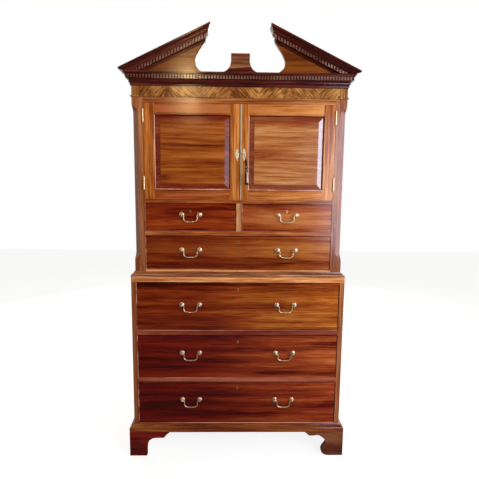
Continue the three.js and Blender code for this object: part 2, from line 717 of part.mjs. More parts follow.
function escutcheon(forKey) {
  const right = ESCUTCHEON_SHARES.map(([x, z]) => [x * ESCUTCHEON_WIDTH / 2, z * ESCUTCHEON_HEIGHT / 2]);
  const left = right.slice(1, -1).reverse().map(([x, z]) => [-x, z]);
  const plate = deepened([...right, ...left], -GAP - ESCUTCHEON_THICKNESS, -GAP);
  const through = ESCUTCHEON_THICKNESS + OVERRUN;
  const holes = PIERCING_SHARES.flatMap(([x, z]) => [-1, 1].map((side) => (
    alongY(PIERCING_RADIUS_SHARE * ESCUTCHEON_WIDTH / 2, through, PIERCING_SIDES)
      .translate(side * x * ESCUTCHEON_WIDTH / 2, 0, z * ESCUTCHEON_HEIGHT / 2))));
  const keyhole = alongY(KEY_BORE_RADIUS, through, SHAFT_SIDES);
  return cut(plate, ...(forKey ? [...holes, keyhole] : holes));
}

// Cut lock, let into the back of the right door's meeting stile
const lockX0 = doorNear + LOCK_EDGE_INSET;
const lockFrontY = DOOR_THICKNESS - LOCK_THICKNESS;
const boltY = lockFrontY + LOCK_FRONT_WALL + GAP;
const bitY = boltY + BOLT_THICKNESS + GAP * 2;
const keyTipY = bitY + BIT_THICKNESS;

function lockBody() {
  const half = LOCK_HEIGHT / 2;
  const body = block(lockX0, lockX0 + LOCK_WIDTH, lockFrontY, DOOR_THICKNESS, -half, half);
  const boltWay = block(
    lockX0 - OVERRUN, lockX0 + BOLT_LENGTH + GAP * 2,
    boltY - GAP, boltY + BOLT_THICKNESS + GAP, BOLT_RISE - GAP, BOLT_RISE + BOLT_HEIGHT + GAP);
  const bore = alongY(KEY_BORE_RADIUS, keyTipY - lockFrontY, SHAFT_SIDES)
    .translate(KEY_OFFSET, lockFrontY, 0);
  const wards = alongY(BIT_LENGTH + GAP * 2, BIT_THICKNESS / 2 + GAP, WARD_SIDES)
    .translate(KEY_OFFSET, bitY + BIT_THICKNESS / 2, 0);
  return cut(body, boltWay, bore, wards);
}

function lockBolt() {
  return block(
    lockX0 + GAP, lockX0 + BOLT_LENGTH, boltY, boltY + BOLT_THICKNESS, BOLT_RISE, BOLT_RISE + BOLT_HEIGHT);
}

// Key on its own axis: bit, shaft, collar and a ring bow that stands upright
function key() {
  const outer = -KEY_REACH;
  const shaft = alongY(KEY_SHAFT_RADIUS, (keyTipY - outer) / 2, SHAFT_SIDES)
    .translate(0, (keyTipY + outer) / 2, 0);
  const bit = block(-BIT_WIDTH / 2, BIT_WIDTH / 2, bitY, keyTipY, -BIT_LENGTH, 0);
  const collar = alongY(KEY_COLLAR_RADIUS, KEY_COLLAR_LENGTH / 2, SHAFT_SIDES)
    .translate(0, outer + KEY_COLLAR_LENGTH, 0);
  const ringSection = [
    [BOW_HOLE_RADIUS, -BOW_THICKNESS / 2], [BOW_RADIUS, -BOW_THICKNESS / 2],
    [BOW_RADIUS, BOW_THICKNESS / 2], [BOW_HOLE_RADIUS, BOW_THICKNESS / 2],
    [BOW_HOLE_RADIUS, -BOW_THICKNESS / 2],
  ];
  const bow = new THREE.LatheGeometry(ringSection.map(([r, y]) => new THREE.Vector2(r, y)), BOW_SIDES)
    .rotateZ(Math.PI / 2).translate(0, bowCentreY, 0);
  return joined(shaft, bit, collar, bow);
}

const bowCentreY = -KEY_REACH - BOW_RADIUS + ROOT;
const bowRimY = bowCentreY - (BOW_RADIUS + BOW_HOLE_RADIUS) / 2;

// The cord makes an open eye round the front of the bow, slanted so that the key can turn
// inside it, and then hangs down to the tassel
const cordFoot = CORD_LOOP_RADIUS * Math.SQRT1_2;
const cordLean = CORD_DROP * CORD_LEAN_SHARE;

function cordEye() {
  const eye = [];
  for (let i = 0; i <= CORD_EYE_STEPS; i += 1) {
    const turn = CORD_EYE_START_SHARE - (CORD_EYE_SWEEP_SHARE * i) / CORD_EYE_STEPS;
    const angle = turn * Math.PI * 2;
    const across = -cordFoot * Math.sin(angle);
    eye.push(new THREE.Vector3(across, bowRimY + CORD_LOOP_RADIUS * Math.cos(angle), -across));
  }
  return eye;
}

function tasselCord() {
  const fall = CORD_FALL_SHARES.map((share) => (
    new THREE.Vector3(cordFoot + cordLean * share, bowRimY, -cordFoot - CORD_DROP * share)));
  const path = new THREE.CatmullRomCurve3([...cordEye(), ...fall]);
  return drawnAlong(path, CORD_RADIUS, CORD_SIDES, CORD_STEPS);
}

function tassel() {
  const profile = TASSEL_SHARES.map(([r, up]) => new THREE.Vector2(r * TASSEL_RADIUS, up * TASSEL_LENGTH));
  return new THREE.LatheGeometry(profile, TASSEL_SIDES).rotateX(Math.PI / 2);
}

function leftDoor() {
  const mortise = block(
    doorNear - OVERRUN, doorNear + BOLT_THROW, boltY - GAP * 2, boltY + BOLT_THICKNESS + GAP * 2,
    ESCUTCHEON_UP + BOLT_RISE - GAP * 2, ESCUTCHEON_UP + BOLT_RISE + BOLT_HEIGHT + GAP * 2);
  return group(
    0, upperFrontY, cupboardZ + DOOR_CLEARANCE,
    piece('door_frame_left', mirrored(cut(doorFrame(), mortise)), mahogany()),
    piece('door_panel_left', mirrored(doorPanel()), flameVeneer()),
    piece('escutcheon_left', escutcheon(false), brass(), -LEFT_ESCUTCHEON_OFFSET, 0, ESCUTCHEON_UP),
  );
}

function rightDoor() {
  const half = LOCK_HEIGHT / 2 + GAP;
  const lockSeat = block(
    lockX0 - GAP, lockX0 + LOCK_WIDTH + GAP, lockFrontY - GAP, DOOR_THICKNESS + OVERRUN,
    ESCUTCHEON_UP - half, ESCUTCHEON_UP + half);
  const boltWay = block(
    doorNear - OVERRUN, lockX0 + OVERRUN, boltY - GAP, boltY + BOLT_THICKNESS + GAP,
    ESCUTCHEON_UP + BOLT_RISE - GAP, ESCUTCHEON_UP + BOLT_RISE + BOLT_HEIGHT + GAP);
  const bore = alongY(KEY_BORE_RADIUS, lockFrontY + OVERRUN, SHAFT_SIDES)
    .translate(KEY_OFFSET, 0, ESCUTCHEON_UP);
  const tasselZ = -cordFoot - CORD_DROP - GAP - TASSEL_LENGTH;
  return group(
    0, upperFrontY, cupboardZ + DOOR_CLEARANCE,
    piece('door_frame_right', cut(doorFrame(), lockSeat, boltWay, bore), mahogany()),
    piece('door_panel_right', doorPanel(), flameVeneer()),
    piece('astragal', astragal(), paleMahogany()),
    piece('door_lock', lockBody(), brass(), 0, 0, ESCUTCHEON_UP),
    piece('lock_bolt', lockBolt(), steel(), 0, 0, ESCUTCHEON_UP),
    group(
      KEY_OFFSET, 0, ESCUTCHEON_UP,
      piece('escutcheon_right', escutcheon(true), brass()),
      piece('key', key(), brass()),
      piece('tassel_cord', tasselCord(), silk()),
      piece('tassel', tassel(), silk(), cordFoot + cordLean, bowRimY, tasselZ),
    ),
  );
}

// Half-round bead along the right door's meeting edge
function astragal() {
  const half = ASTRAGAL_WIDTH / 2;
  const section = [];
  for (let i = 0; i <= ASTRAGAL_STEPS; i += 1) {
    const angle = (Math.PI * i) / ASTRAGAL_STEPS;
    section.push([doorNear + half + half * Math.cos(angle), -GAP - ASTRAGAL_REACH * Math.sin(angle)]);
  }
  return risen(section, 0, doorHeight);
}

// Trays for linen, open on top, with a lower front
function tray() {
  const half = openingHalf - TRAY_CLEARANCE;
  const depth = backPanelY - TRAY_CLEARANCE - upperFrontY - TRAY_SETBACK;
  const shell = block(-half, half, 0, depth, 0, TRAY_HEIGHT);
  const inner = half - TRAY_THICKNESS;
  const hollow = block(
    -inner, inner, TRAY_THICKNESS, depth - TRAY_THICKNESS, TRAY_THICKNESS, TRAY_HEIGHT + OVERRUN);
  const frontCut = block(
    -inner, inner, -OVERRUN, TRAY_THICKNESS + OVERRUN, TRAY_FRONT_HEIGHT, TRAY_HEIGHT + OVERRUN);
  return cut(shell, hollow, frontCut);
}

function trays() {
  const names = ['tray_lower', 'tray_upper'];
  return trayFloors().map((z, i) => (
    piece(names[i], tray(), oak(), 0, upperFrontY + TRAY_SETBACK, z + GAP)));
}

// Drawers, each from the middle of its opening's floor
function handleMount() {
  const reach = POST_REACH + ROOT;
  const profile = ROSE_SHARES.map(([r, out]) => new THREE.Vector2(r * ROSE_RADIUS, out * reach));
  const post = new THREE.LatheGeometry(profile, POST_SIDES).rotateX(Math.PI).translate(0, ROOT, 0);
  const socket = alongY(BAIL_RADIUS + BAIL_CLEARANCE, ROSE_RADIUS, PIERCING_SIDES)
    .rotateZ(Math.PI / 2).translate(0, -BAIL_AXIS_REACH, 0);
  return cut(post, socket);
}

function beadFrame(half, height) {
  const outer = block(-half, half, -BEAD_REACH, ROOT, 0, height);
  const inner = block(
    -half + BEAD_WIDTH, half - BEAD_WIDTH, -BEAD_REACH - OVERRUN, OVERRUN, BEAD_WIDTH, height - BEAD_WIDTH);
  return cut(outer, inner);
}

function drawerBody(width, opening, depth, handleXs, shares) {
  const half = width / 2 - DRAWER_CLEARANCE;
  const height = opening - DRAWER_CLEARANCE - GAP;
  const front = block(-half, half, 0, DRAWER_FRONT_THICKNESS, 0, height);
  const sideHeight = height - DRAWER_SIDE_DROP;
  const box = block(-half, half, DRAWER_FRONT_THICKNESS - ROOT, depth, 0, sideHeight);
  const inner = half - DRAWER_SIDE_THICKNESS;
  const hollow = block(
    -inner, inner, DRAWER_FRONT_THICKNESS, depth - DRAWER_SIDE_THICKNESS,
    DRAWER_BOTTOM_THICKNESS, height + OVERRUN);
  const hole = alongY(KEYHOLE_RADIUS, DRAWER_FRONT_THICKNESS + OVERRUN, PIERCING_SIDES);
  const slot = block(
    -KEYHOLE_SLOT / 2, KEYHOLE_SLOT / 2, -OVERRUN, DRAWER_FRONT_THICKNESS + OVERRUN, -KEYHOLE_DROP, 0);
  const keyhole = joined(hole, slot).translate(0, 0, shares.keyhole * opening);
  const mounts = handleXs.flatMap((x) => [-1, 1].map((end) => (
    handleMount().translate(x + end * HANDLE_SPACING / 2, 0, shares.handle * opening))));
  return joined(cut(joined(front, box), hollow, keyhole), beadFrame(half, height), ...mounts);
}

function bail() {
  const reach = HANDLE_SPACING / 2;
  const half = BAIL_SHARES.map(([x, down]) => [x * reach, -down * BAIL_DROP]);
  const right = [[reach + BAIL_PIN_DEPTH, 0], [reach, 0], ...half];
  const left = right.slice(0, -1).reverse().map(([x, z]) => [-x, z]);
  const path = new THREE.CatmullRomCurve3([...right, ...left].map(([x, z]) => new THREE.Vector3(x, 0, z)));
  return drawnAlong(path, BAIL_RADIUS, BAIL_SIDES, BAIL_STEPS);
}

function drawer({ name, width, opening, x, frontY, z, handles, shares }) {
  const depth = backPanelY - DRAWER_BACK_CLEARANCE - frontY;
  const body = drawerBody(width, opening, depth, Object.values(handles), shares);
  const bails = Object.entries(handles).map(([end, handleX]) => (
    piece(`bail_${name}${end}`, bail(), brass(), handleX, -BAIL_AXIS_REACH, shares.handle * opening)));
  return group(x, frontY, z + GAP, piece(name, body, redMahogany()), ...bails);
}

function drawers() {
  const upperFoot = lowerTopZ + GAP;
  const shortX = (openingHalf + DIVIDER_WIDTH / 2) / 2;
  const short = {
    width: openingHalf - DIVIDER_WIDTH / 2,
    opening: SHORT_DRAWER_OPENING,
    frontY: upperFrontY,
    z: upperFoot + shortDrawerZ,
    handles: { '': 0 },
    shares: SHORT_DRAWER_SHARES,
  };
  const handles = { _left: -HANDLE_OFFSET, _right: HANDLE_OFFSET };
  const upper = { width: openingHalf * 2, x: 0, frontY: upperFrontY, handles };
  const lower = { width: lowerInner * 2, x: 0, frontY: lowerFrontY, handles };
  return [
    { ...short, name: 'short_drawer_left', x: -shortX },
    { ...short, name: 'short_drawer_right', x: shortX },
    { ...upper, name: 'upper_long_drawer', opening: LONG_DRAWER_OPENING, z: upperFoot + longDrawerZ,
      shares: LONG_DRAWER_SHARES },
    { ...lower, name: 'lower_drawer_top', opening: TOP_DRAWER_OPENING, z: topDrawerZ,
      shares: TOP_DRAWER_SHARES },
    { ...lower, name: 'lower_drawer_middle', opening: MIDDLE_DRAWER_OPENING, z: middleDrawerZ,
      shares: MIDDLE_DRAWER_SHARES },
    { ...lower, name: 'lower_drawer_bottom', opening: BOTTOM_DRAWER_OPENING, z: bottomDrawerZ,
      shares: BOTTOM_DRAWER_SHARES },
  ].map(drawer);
}

// Frieze and cornice
function frieze() {
  const outer = block(-upperHalf, upperHalf, upperFrontY, backY, 0, FRIEZE_HEIGHT);
  const innerHalf = upperHalf - FRIEZE_THICKNESS;
  const hollow = block(
    -innerHalf, innerHalf, upperFrontY + FRIEZE_THICKNESS, backY - FRIEZE_THICKNESS,
    -OVERRUN, FRIEZE_HEIGHT + OVERRUN);
  const lip = surround(
    [[-ROOT, 0], [LIP_REACH, 0], [LIP_REACH, LIP_HEIGHT], [-ROOT, LIP_HEIGHT]],
    upperHalf, upperFrontY, backY, 1);
  return joined(cut(outer, hollow), lip);
}

function toothStarts(length) {
  const count = Math.floor((length - DENTIL_WIDTH) / DENTIL_PITCH) + 1;
  const first = (length - (count - 1) * DENTIL_PITCH - DENTIL_WIDTH) / 2;
  return Array.from({ length: count }, (_, i) => first + i * DENTIL_PITCH);
}

// A comb of dentils as [along, up] points: level teeth, or teeth under a slope
function comb(length, foot, head, lineAt) {
  const top = head + ROOT;
  const points = [[0, lineAt(0) + top]];
  toothStarts(length).forEach((start) => {
    const end = start + DENTIL_WIDTH;
    points.push([start, lineAt(start) + head], [start, lineAt(start) + foot]);
    points.push([end, lineAt(end) + foot], [end, lineAt(end) + head]);
  });
  points.push([length, lineAt(length) + top]);
  return points;
}

// Plan of the front run between the mitres at its corners
function frontRun(outside, inside) {
  return [
    [-upperHalf - outside, upperFrontY - outside], [upperHalf + outside, upperFrontY - outside],
    [upperHalf - inside, upperFrontY + inside], [inside - upperHalf, upperFrontY + inside],
  ];
}

function cornice() {
  const face = CORNICE_SHARES.map(([out, up]) => [out * CORNICE_REACH, up * CORNICE_HEIGHT]);
  const section = [[-FRIEZE_THICKNESS, 0], ...face, [-FRIEZE_THICKNESS, CORNICE_HEIGHT]];
  const moulding = surround(section, upperHalf, upperFrontY, backY, 1);
  const overLedge = risen(
    frontRun(CORNICE_REACH + OVERRUN, FRIEZE_THICKNESS + OVERRUN),
    CORNICE_HEIGHT - LEDGE_DROP, CORNICE_HEIGHT + OVERRUN);
  const innerHalf = upperHalf - FRIEZE_THICKNESS + ROOT;
  const backRail = block(-innerHalf, innerHalf, backY - FRIEZE_THICKNESS, backY, 0, CORNICE_HEIGHT);
  const bed = DENTIL_BED_SHARE * CORNICE_REACH;
  const reach = DENTIL_REACH_SHARE * CORNICE_REACH;
  const foot = DENTIL_SHARES.foot * CORNICE_HEIGHT;
  const head = DENTIL_SHARES.head * CORNICE_HEIGHT;
  const level = () => 0;
  const frontLength = (upperHalf + bed) * 2;
  const frontComb = deepened(comb(frontLength, foot, head, level), -reach, -bed + ROOT)
    .translate(-frontLength / 2, upperFrontY, 0);
  const sideLength = upperDepth + reach;
  const sideRings = [bed - ROOT, reach].map((out) => (
    comb(sideLength, foot, head, level).map(([along, up]) => [upperHalf + out, backY - along, up])));
  const sideComb = loft(sideRings);
  return joined(cut(moulding, overLedge), backRail, frontComb, sideComb, mirrored(sideComb));
}

// Pediment, from the top of the side runs: a pierced board, a raking cornice on each slope and a
// moulded plinth between them, all standing on the ledge of the front run
const tipX = upperHalf + CORNICE_REACH;
const boardEndX = PEAK_SPACING / 2 + PEAK_RETURN;
const slopeAt = (x) => (tipX - x) * pedimentSlope;
const plumb = (height) => height * Math.hypot(1, pedimentSlope);

function pedimentBoard() {
  const scrollHead = slopeAt(boardEndX) - plumb(RAKE_HEIGHT);
  const scrollFoot = TYMPANUM_STRIP - LEDGE_DROP;
  const places = SCROLL_SHARES.map(([across, up]) => new THREE.Vector2(
    boardEndX + across * SCROLL_DEPTH, scrollFoot + up * (scrollHead - scrollFoot)));
  const scroll = new THREE.SplineCurve(places).getPoints(SCROLL_STEPS).map(({ x, y }) => [x, y]);
  const foot = upperHalf - TYMPANUM_THICKNESS - GAP * 2;
  const wing = [[foot, -LEDGE_DROP], [foot, slopeAt(foot)], [boardEndX, slopeAt(boardEndX)], ...scroll];
  const left = wing.slice().reverse().map(([x, z]) => [-x, z]);
  return deepened([...wing, ...left], upperFrontY, upperFrontY + TYMPANUM_THICKNESS);
}

function rakingCornice() {
  const section = RAKE_SHARES.slice().reverse().map(([out, up]) => (
    { out: out * CORNICE_REACH, drop: plumb((1 - up) * RAKE_HEIGHT) }));
  const deepest = section[section.length - 1].drop;
  const boardY = upperFrontY - GAP;
  const endX = boardEndX - GAP;
  const backEndY = upperFrontY + TYMPANUM_THICKNESS;
  const returnX = (out) => boardEndX - (out / CORNICE_REACH) * PEAK_RETURN;
  const stations = [
    { x: () => tipX + OVERRUN, y: (out) => upperFrontY - out, innerX: tipX + OVERRUN, innerY: boardY },
    { x: returnX, y: (out) => upperFrontY - out, innerX: endX, innerY: boardY },
    { x: returnX, y: () => backEndY, innerX: endX, innerY: backEndY },
  ];
  const rings = stations.map(({ x, y, innerX, innerY }) => {
    const ring = section.map(({ out, drop }) => [x(out), y(out), slopeAt(x(out)) - drop]);
    ring.push([innerX, innerY, slopeAt(innerX) - deepest], [innerX, innerY, slopeAt(innerX)]);
    return ring;
  });
  return cut(joined(loft(rings), rakingDentils()), ...rakeFootCutters());
}

// The foot of a raking cornice stands on the ledge and meets the side run at the corner's mitre
function rakeFootCutters() {
  const out = CORNICE_REACH + OVERRUN * 2;
  const mitreX = upperHalf - GAP * Math.SQRT2;
  const farX = mitreX + out * 2;
  const mitre = risen([
    [mitreX - OVERRUN, upperFrontY + OVERRUN], [mitreX + out, upperFrontY - out],
    [farX, upperFrontY - out], [farX, upperFrontY + OVERRUN],
  ], -CORNICE_HEIGHT, CORNICE_HEIGHT);
  const belowLedge = block(
    0, farX, upperFrontY - out, upperFrontY + OVERRUN, -CORNICE_HEIGHT - RAKE_HEIGHT, -LEDGE_DROP);
  return [mitre, belowLedge];
}

function rakingDentils() {
  const bed = DENTIL_BED_SHARE * CORNICE_REACH;
  const reach = DENTIL_REACH_SHARE * CORNICE_REACH;
  const foot = -plumb((1 - RAKE_DENTIL_SHARES.foot) * RAKE_HEIGHT);
  const head = -plumb((1 - RAKE_DENTIL_SHARES.head) * RAKE_HEIGHT);
  const start = boardEndX - (reach / CORNICE_REACH) * PEAK_RETURN;
  const teeth = comb(tipX - start, foot, head, (along) => slopeAt(start + along));
  const outline = teeth.map(([along, up]) => [start + along, up]);
  return deepened(outline, upperFrontY - reach, upperFrontY - bed + ROOT);
}

function plinth() {
  const half = PLINTH_WIDTH / 2;
  const back = upperFrontY - GAP;
  const rings = PLINTH_SHARES.map(([out, up]) => {
    const swell = out * PLINTH_FLARE;
    const x = half + swell;
    const front = back - PLINTH_DEPTH + swell * PLINTH_FRONT_SHARE;
    const z = up * PLINTH_HEIGHT;
    return [[-x, front, z], [x, front, z], [x, back, z], [-x, back, z]];
  });
  return loft(rings);
}

function crown() {
  const right = rakingCornice();
  return group(
    0, 0, lowerTopZ + GAP + upperHeight + GAP,
    piece('frieze', frieze(), flameVeneer()),
    piece('cornice_moulding', cornice(), redMahogany(), 0, 0, FRIEZE_HEIGHT + GAP),
    group(
      0, 0, FRIEZE_HEIGHT + CORNICE_HEIGHT + GAP * 2,
      piece('pediment_board', pedimentBoard(), mahogany()),
      piece('raking_cornice_left', mirrored(right), redMahogany()),
      piece('raking_cornice_right', right, redMahogany()),
      piece('pediment_plinth', plinth(), redMahogany(), 0, 0, -LEDGE_DROP),
    ),
  );
}

const press = new THREE.Group();
press.name = 'linen_press';
press.add(feet(), lowerCase(), upperCase(), crown(), ...drawers());

export default press;
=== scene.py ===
"""A mahogany linen press in two cases, dressed for the photograph's view. The scene is in metres
with +Z up. Sizes here are in millimetres, times MM, but for the lamps, which are in metres."""
import math

import bpy
from mathutils import Matrix, Vector


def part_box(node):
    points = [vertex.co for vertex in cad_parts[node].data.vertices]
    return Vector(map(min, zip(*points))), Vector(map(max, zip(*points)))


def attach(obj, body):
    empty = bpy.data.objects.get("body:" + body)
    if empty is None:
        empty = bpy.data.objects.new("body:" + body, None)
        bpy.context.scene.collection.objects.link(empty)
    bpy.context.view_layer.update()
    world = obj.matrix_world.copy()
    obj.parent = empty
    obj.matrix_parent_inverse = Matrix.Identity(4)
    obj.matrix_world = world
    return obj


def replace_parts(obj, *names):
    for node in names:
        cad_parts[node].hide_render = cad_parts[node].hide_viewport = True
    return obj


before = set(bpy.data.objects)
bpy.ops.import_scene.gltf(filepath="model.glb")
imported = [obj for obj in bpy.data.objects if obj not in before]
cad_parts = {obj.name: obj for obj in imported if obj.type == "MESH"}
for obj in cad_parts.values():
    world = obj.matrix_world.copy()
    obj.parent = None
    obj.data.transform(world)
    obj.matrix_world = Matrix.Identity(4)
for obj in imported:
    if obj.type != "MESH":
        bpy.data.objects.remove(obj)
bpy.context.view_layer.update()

MM = 0.001


# Camera
# The photograph was taken from the middle of the room, a little to the left of the press, and
# tilted down. The place and tilt were found from corners of the cases and the pediment.
IMAGE_WIDTH = 479
FOCAL_PIXELS = 400
SENSOR = 36
CAMERA_PLACE = (-35.0, -2315.4, 1454.8)
CAMERA_YAW, CAMERA_PITCH, CAMERA_ROLL = (math.radians(a) for a in (1.093, -7.283, 0.562))

camera = bpy.data.objects.new("camera", bpy.data.cameras.new("camera"))
camera.data.sensor_width = SENSOR
camera.data.lens = SENSOR * FOCAL_PIXELS / IMAGE_WIDTH
ahead = Vector((
    math.sin(CAMERA_YAW) * math.cos(CAMERA_PITCH),
    math.cos(CAMERA_YAW) * math.cos(CAMERA_PITCH),
    math.sin(CAMERA_PITCH)))
level = Vector((math.cos(CAMERA_YAW), -math.sin(CAMERA_YAW), 0))
upright = level.cross(ahead)
across = level * math.cos(CAMERA_ROLL) + upright * math.sin(CAMERA_ROLL)
upward = upright * math.cos(CAMERA_ROLL) - level * math.sin(CAMERA_ROLL)
camera.matrix_world = Matrix.Translation(Vector(CAMERA_PLACE) * MM) @ Matrix(
    (across, upward, -ahead)).transposed().to_4x4()
bpy.context.collection.objects.link(camera)
bpy.context.scene.camera = camera


# Cord of the tassel
# Two silk strands, one black and one cream, laid together into a 2 mm cord. It makes an open
# eye round the key's bow, turned 45 degrees out of the door's plane, and hangs from it. The
# tassel is bound to its foot.
KEY_PLACE = (23.5, -246.0, 1624.8)
BOW_RIM = -32.25
CORD_RADIUS = 1.0
CORD_EYE = 6.0
CORD_EYE_ACROSS = CORD_EYE * math.sqrt(0.5)
CORD_EYE_START, CORD_EYE_SWEEP, CORD_EYE_POINTS = -0.18, 0.86, 15
CORD_DROP, CORD_LEAN = 55.0, 6.6
CORD_FALLS = (0.12, 0.3, 0.5, 0.75, 1)
CORD_RINGS = 150
CORD_SIDES = 12
CORD_LAY = 7.0
CORD_GROOVE = 0.12
SPLINE_STEPS = 16
YARN_BAND = 1.0


def drawn(points, count):
    """Count points, evenly spaced along the smooth curve through the given points."""
    points = [Vector(p) for p in points]
    ends = [points[0] * 2 - points[1]] + points + [points[-1] * 2 - points[-2]]
    fine = []
    for a, b, c, d in zip(ends, ends[1:], ends[2:], ends[3:]):
        knots = [0]
        for p, q in ((a, b), (b, c), (c, d)):
            knots.append(knots[-1] + math.sqrt((q - p).length))
        k0, k1, k2, k3 = knots
        for i in range(SPLINE_STEPS):
            t = k1 + (k2 - k1) * i / SPLINE_STEPS
            ab = a.lerp(b, (t - k0) / (k1 - k0))
            bc = b.lerp(c, (t - k1) / (k2 - k1))
            cd = c.lerp(d, (t - k2) / (k3 - k2))
            fine.append(ab.lerp(bc, (t - k0) / (k2 - k0)).lerp(
                bc.lerp(cd, (t - k1) / (k3 - k1)), (t - k1) / (k2 - k1)))
    fine.append(points[-1])
    lengths = [0]
    for p, q in zip(fine, fine[1:]):
        lengths.append(lengths[-1] + (q - p).length)
    even, j = [], 0
    for i in range(count):
        at = lengths[-1] * i / (count - 1)
        while j < len(fine) - 2 and lengths[j + 1] < at:
            j += 1
        even.append(fine[j].lerp(fine[j + 1], (at - lengths[j]) / (lengths[j + 1] - lengths[j])))
    return even


def tube_mesh(path, radius_at, sides, first=None):
    """Vertices and faces of a closed tube along a path; radius_at gives the radius at a share
    of the length and an angle."""
    verts, faces = [], []
    aim = (path[1] - path[0]).normalized()
    side = aim.orthogonal().normalized() if first is None else Vector(first)
    for i, point in enumerate(path):
        aim = (path[min(i + 1, len(path) - 1)] - path[max(i - 1, 0)]).normalized()
        side = (side - aim * side.dot(aim)).normalized()
        other = aim.cross(side)
        for k in range(sides):
            angle = math.tau * k / sides
            reach = radius_at(i / (len(path) - 1), angle)
            verts.append(point + (side * math.cos(angle) + other * math.sin(angle)) * reach)
    for i in range(len(path) - 1):
        for k in range(sides):
            a, b = i * sides + k, i * sides + (k + 1) % sides
            faces.append((a, b, b + sides, a + sides))
    last = (len(path) - 1) * sides
    faces.append(tuple(range(sides - 1, -1, -1)))
    faces.append(tuple(range(last, last + sides)))
    return verts, faces


def piece(name, verts, faces, material, body, smooth=True):
    """A mesh piece given in millimetres in the shared frame, riding on a body."""
    mesh = bpy.data.meshes.new(name)
    mesh.from_pydata([Vector(v) * MM for v in verts], [], faces)
    mesh.update()
    if smooth:
        mesh.shade_smooth()
    made = bpy.data.objects.new(name, mesh)
    made.data.materials.append(material)
    bpy.context.collection.objects.link(made)
    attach(made, body)
    return made


def colour(text):
    """Linear colour of a hex value."""
    channels = [int(text[i:i + 2], 16) / 255 for i in (1, 3, 5)]
    return [c / 12.92 if c <= 0.04045 else ((c + 0.055) / 1.055) ** 2.4 for c in channels] + [1]


def node(tree, kind, inputs=None, **settings):
    """Adds a shader node with its settings. An input is a value or another node's output."""
    made = tree.nodes.new("ShaderNode" + kind)
    for name, value in settings.items():
        if name == "stops":
            stops = made.color_ramp.elements
            for stop in value[2:]:
                stops.new(stop[0])
            for stop, (at, shade) in zip(stops, value):
                stop.position, stop.color = at, shade
        else:
            setattr(made, name, value)
    for name, value in (inputs or {}).items():
        if isinstance(value, bpy.types.NodeSocket):
            tree.links.new(value, made.inputs[name])
        else:
            made.inputs[name].default_value = value
    return made


def surface(name, links, **values):
    """A material: links(tree) gives what feeds the shader, and values are plain numbers on it."""
    material = bpy.data.materials.new(name)
    material.use_nodes = True
    tree = material.node_tree
    shader = tree.nodes["Principled BSDF"]
    for key, value in values.items():
        shader.inputs[key.replace("_", " ")].default_value = value
    for key, output in links(tree).items():
        tree.links.new(output, shader.inputs[key])
    return material


def spun_silk(dark, pale):
    """Silk yarn, 0.4 mm thick, drawn as 1 mm bands so that it shows as fine soft stripes."""
    def links(tree):
        place = node(tree, "TexCoord").outputs["Object"]
        yarn = node(tree, "TexNoise", {
            "Vector": place, "Scale": 1 / (YARN_BAND * MM), "Detail": 2})
        shade = node(tree, "ValToRGB", {"Fac": yarn.outputs[0]},
                     stops=[(0.35, colour(dark)), (0.65, colour(pale))])
        bump = node(tree, "Bump", {
            "Height": yarn.outputs[0], "Strength": 0.4, "Distance": 0.3 * MM})
        return {"Base Color": shade.outputs[0], "Normal": bump.outputs[0]}
    return links


# The black silk is dull and swallows the light. The cream silk keeps a little sheen.
black_silk = surface("black_silk", spun_silk("#0b0705", "#1d1410"), Roughness=0.7,
                     Specular_IOR_Level=0.15)
cream_silk = surface("cream_silk", spun_silk("#d8bf98", "#fff0d8"), Roughness=0.6, Sheen_Weight=0.3)

cord_points = []
for i in range(CORD_EYE_POINTS):
    turn = CORD_EYE_START - CORD_EYE_SWEEP * i / (CORD_EYE_POINTS - 1)
    sideways = -CORD_EYE_ACROSS * math.sin(turn * math.tau)
    cord_points.append((sideways, BOW_RIM + CORD_EYE * math.cos(turn * math.tau), -sideways))
for share in CORD_FALLS:
    cord_points.append((
        CORD_EYE_ACROSS + CORD_LEAN * share, BOW_RIM, -CORD_EYE_ACROSS - CORD_DROP * share))
cord_path = [Vector(KEY_PLACE) + p for p in drawn(cord_points, CORD_RINGS)]
cord_length = sum((b - a).length for a, b in zip(cord_path, cord_path[1:])) * MM


def cord_radius(share, angle):
    """Two strands laid round each other, with a groove between them."""
    turn = share * cord_length / (CORD_LAY * MM) * math.tau
    return CORD_RADIUS * (1 - CORD_GROOVE * math.sin(angle - turn) ** 2)


verts, faces = tube_mesh(cord_path, cord_radius, CORD_SIDES)
tassel_cord = piece("silk_cord", verts, faces, black_silk, "tassel")
tassel_cord.data.materials.append(cream_silk)
for polygon in tassel_cord.data.polygons[:(CORD_RINGS - 1) * CORD_SIDES]:
    ring, side = divmod(polygon.index, CORD_SIDES)
    turn = ring / (CORD_RINGS - 1) * cord_length / (CORD_LAY * MM)
    polygon.material_index = int((side / CORD_SIDES - turn) % 1 < 0.5)
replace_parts(tassel_cord, "tassel_cord")


# Tassel
# A turned mould wound with silk, a bound neck, and a skirt of loose yarns, black to the left and
# cream to the right. It hangs from a silk knot on the cord and stays plumb as the key turns.
CORD_END_GAP = 0.3
TASSEL_TOP = Vector((KEY_PLACE[0] + CORD_EYE_ACROSS + CORD_LEAN, KEY_PLACE[1] + BOW_RIM,
                     KEY_PLACE[2] - CORD_EYE_ACROSS - CORD_DROP - CORD_END_GAP))
HEAD_PROFILE = ((0, 0), (2.2, -0.4), (3.4, -2.5), (5.2, -7), (6.2, -12), (6.1, -17), (5, -22),
                (3.6, -25), (4.2, -26.2), (4.3, -28), (3.6, -29.4), (3.4, -31), (0, -31.5))
HEAD_SIDES = 28
WOUND_THREADS, WOUND_RISE, WOUND_SHARE = 2, 9, 0.15
KNOT_PROFILE = ((0, 35), (3, 34), (5, 29), (5.8, 22), (4.8, 16), (3.4, 13), (5, 9.5), (5.2, 6),
                (3.2, 2), (0, 1.2))
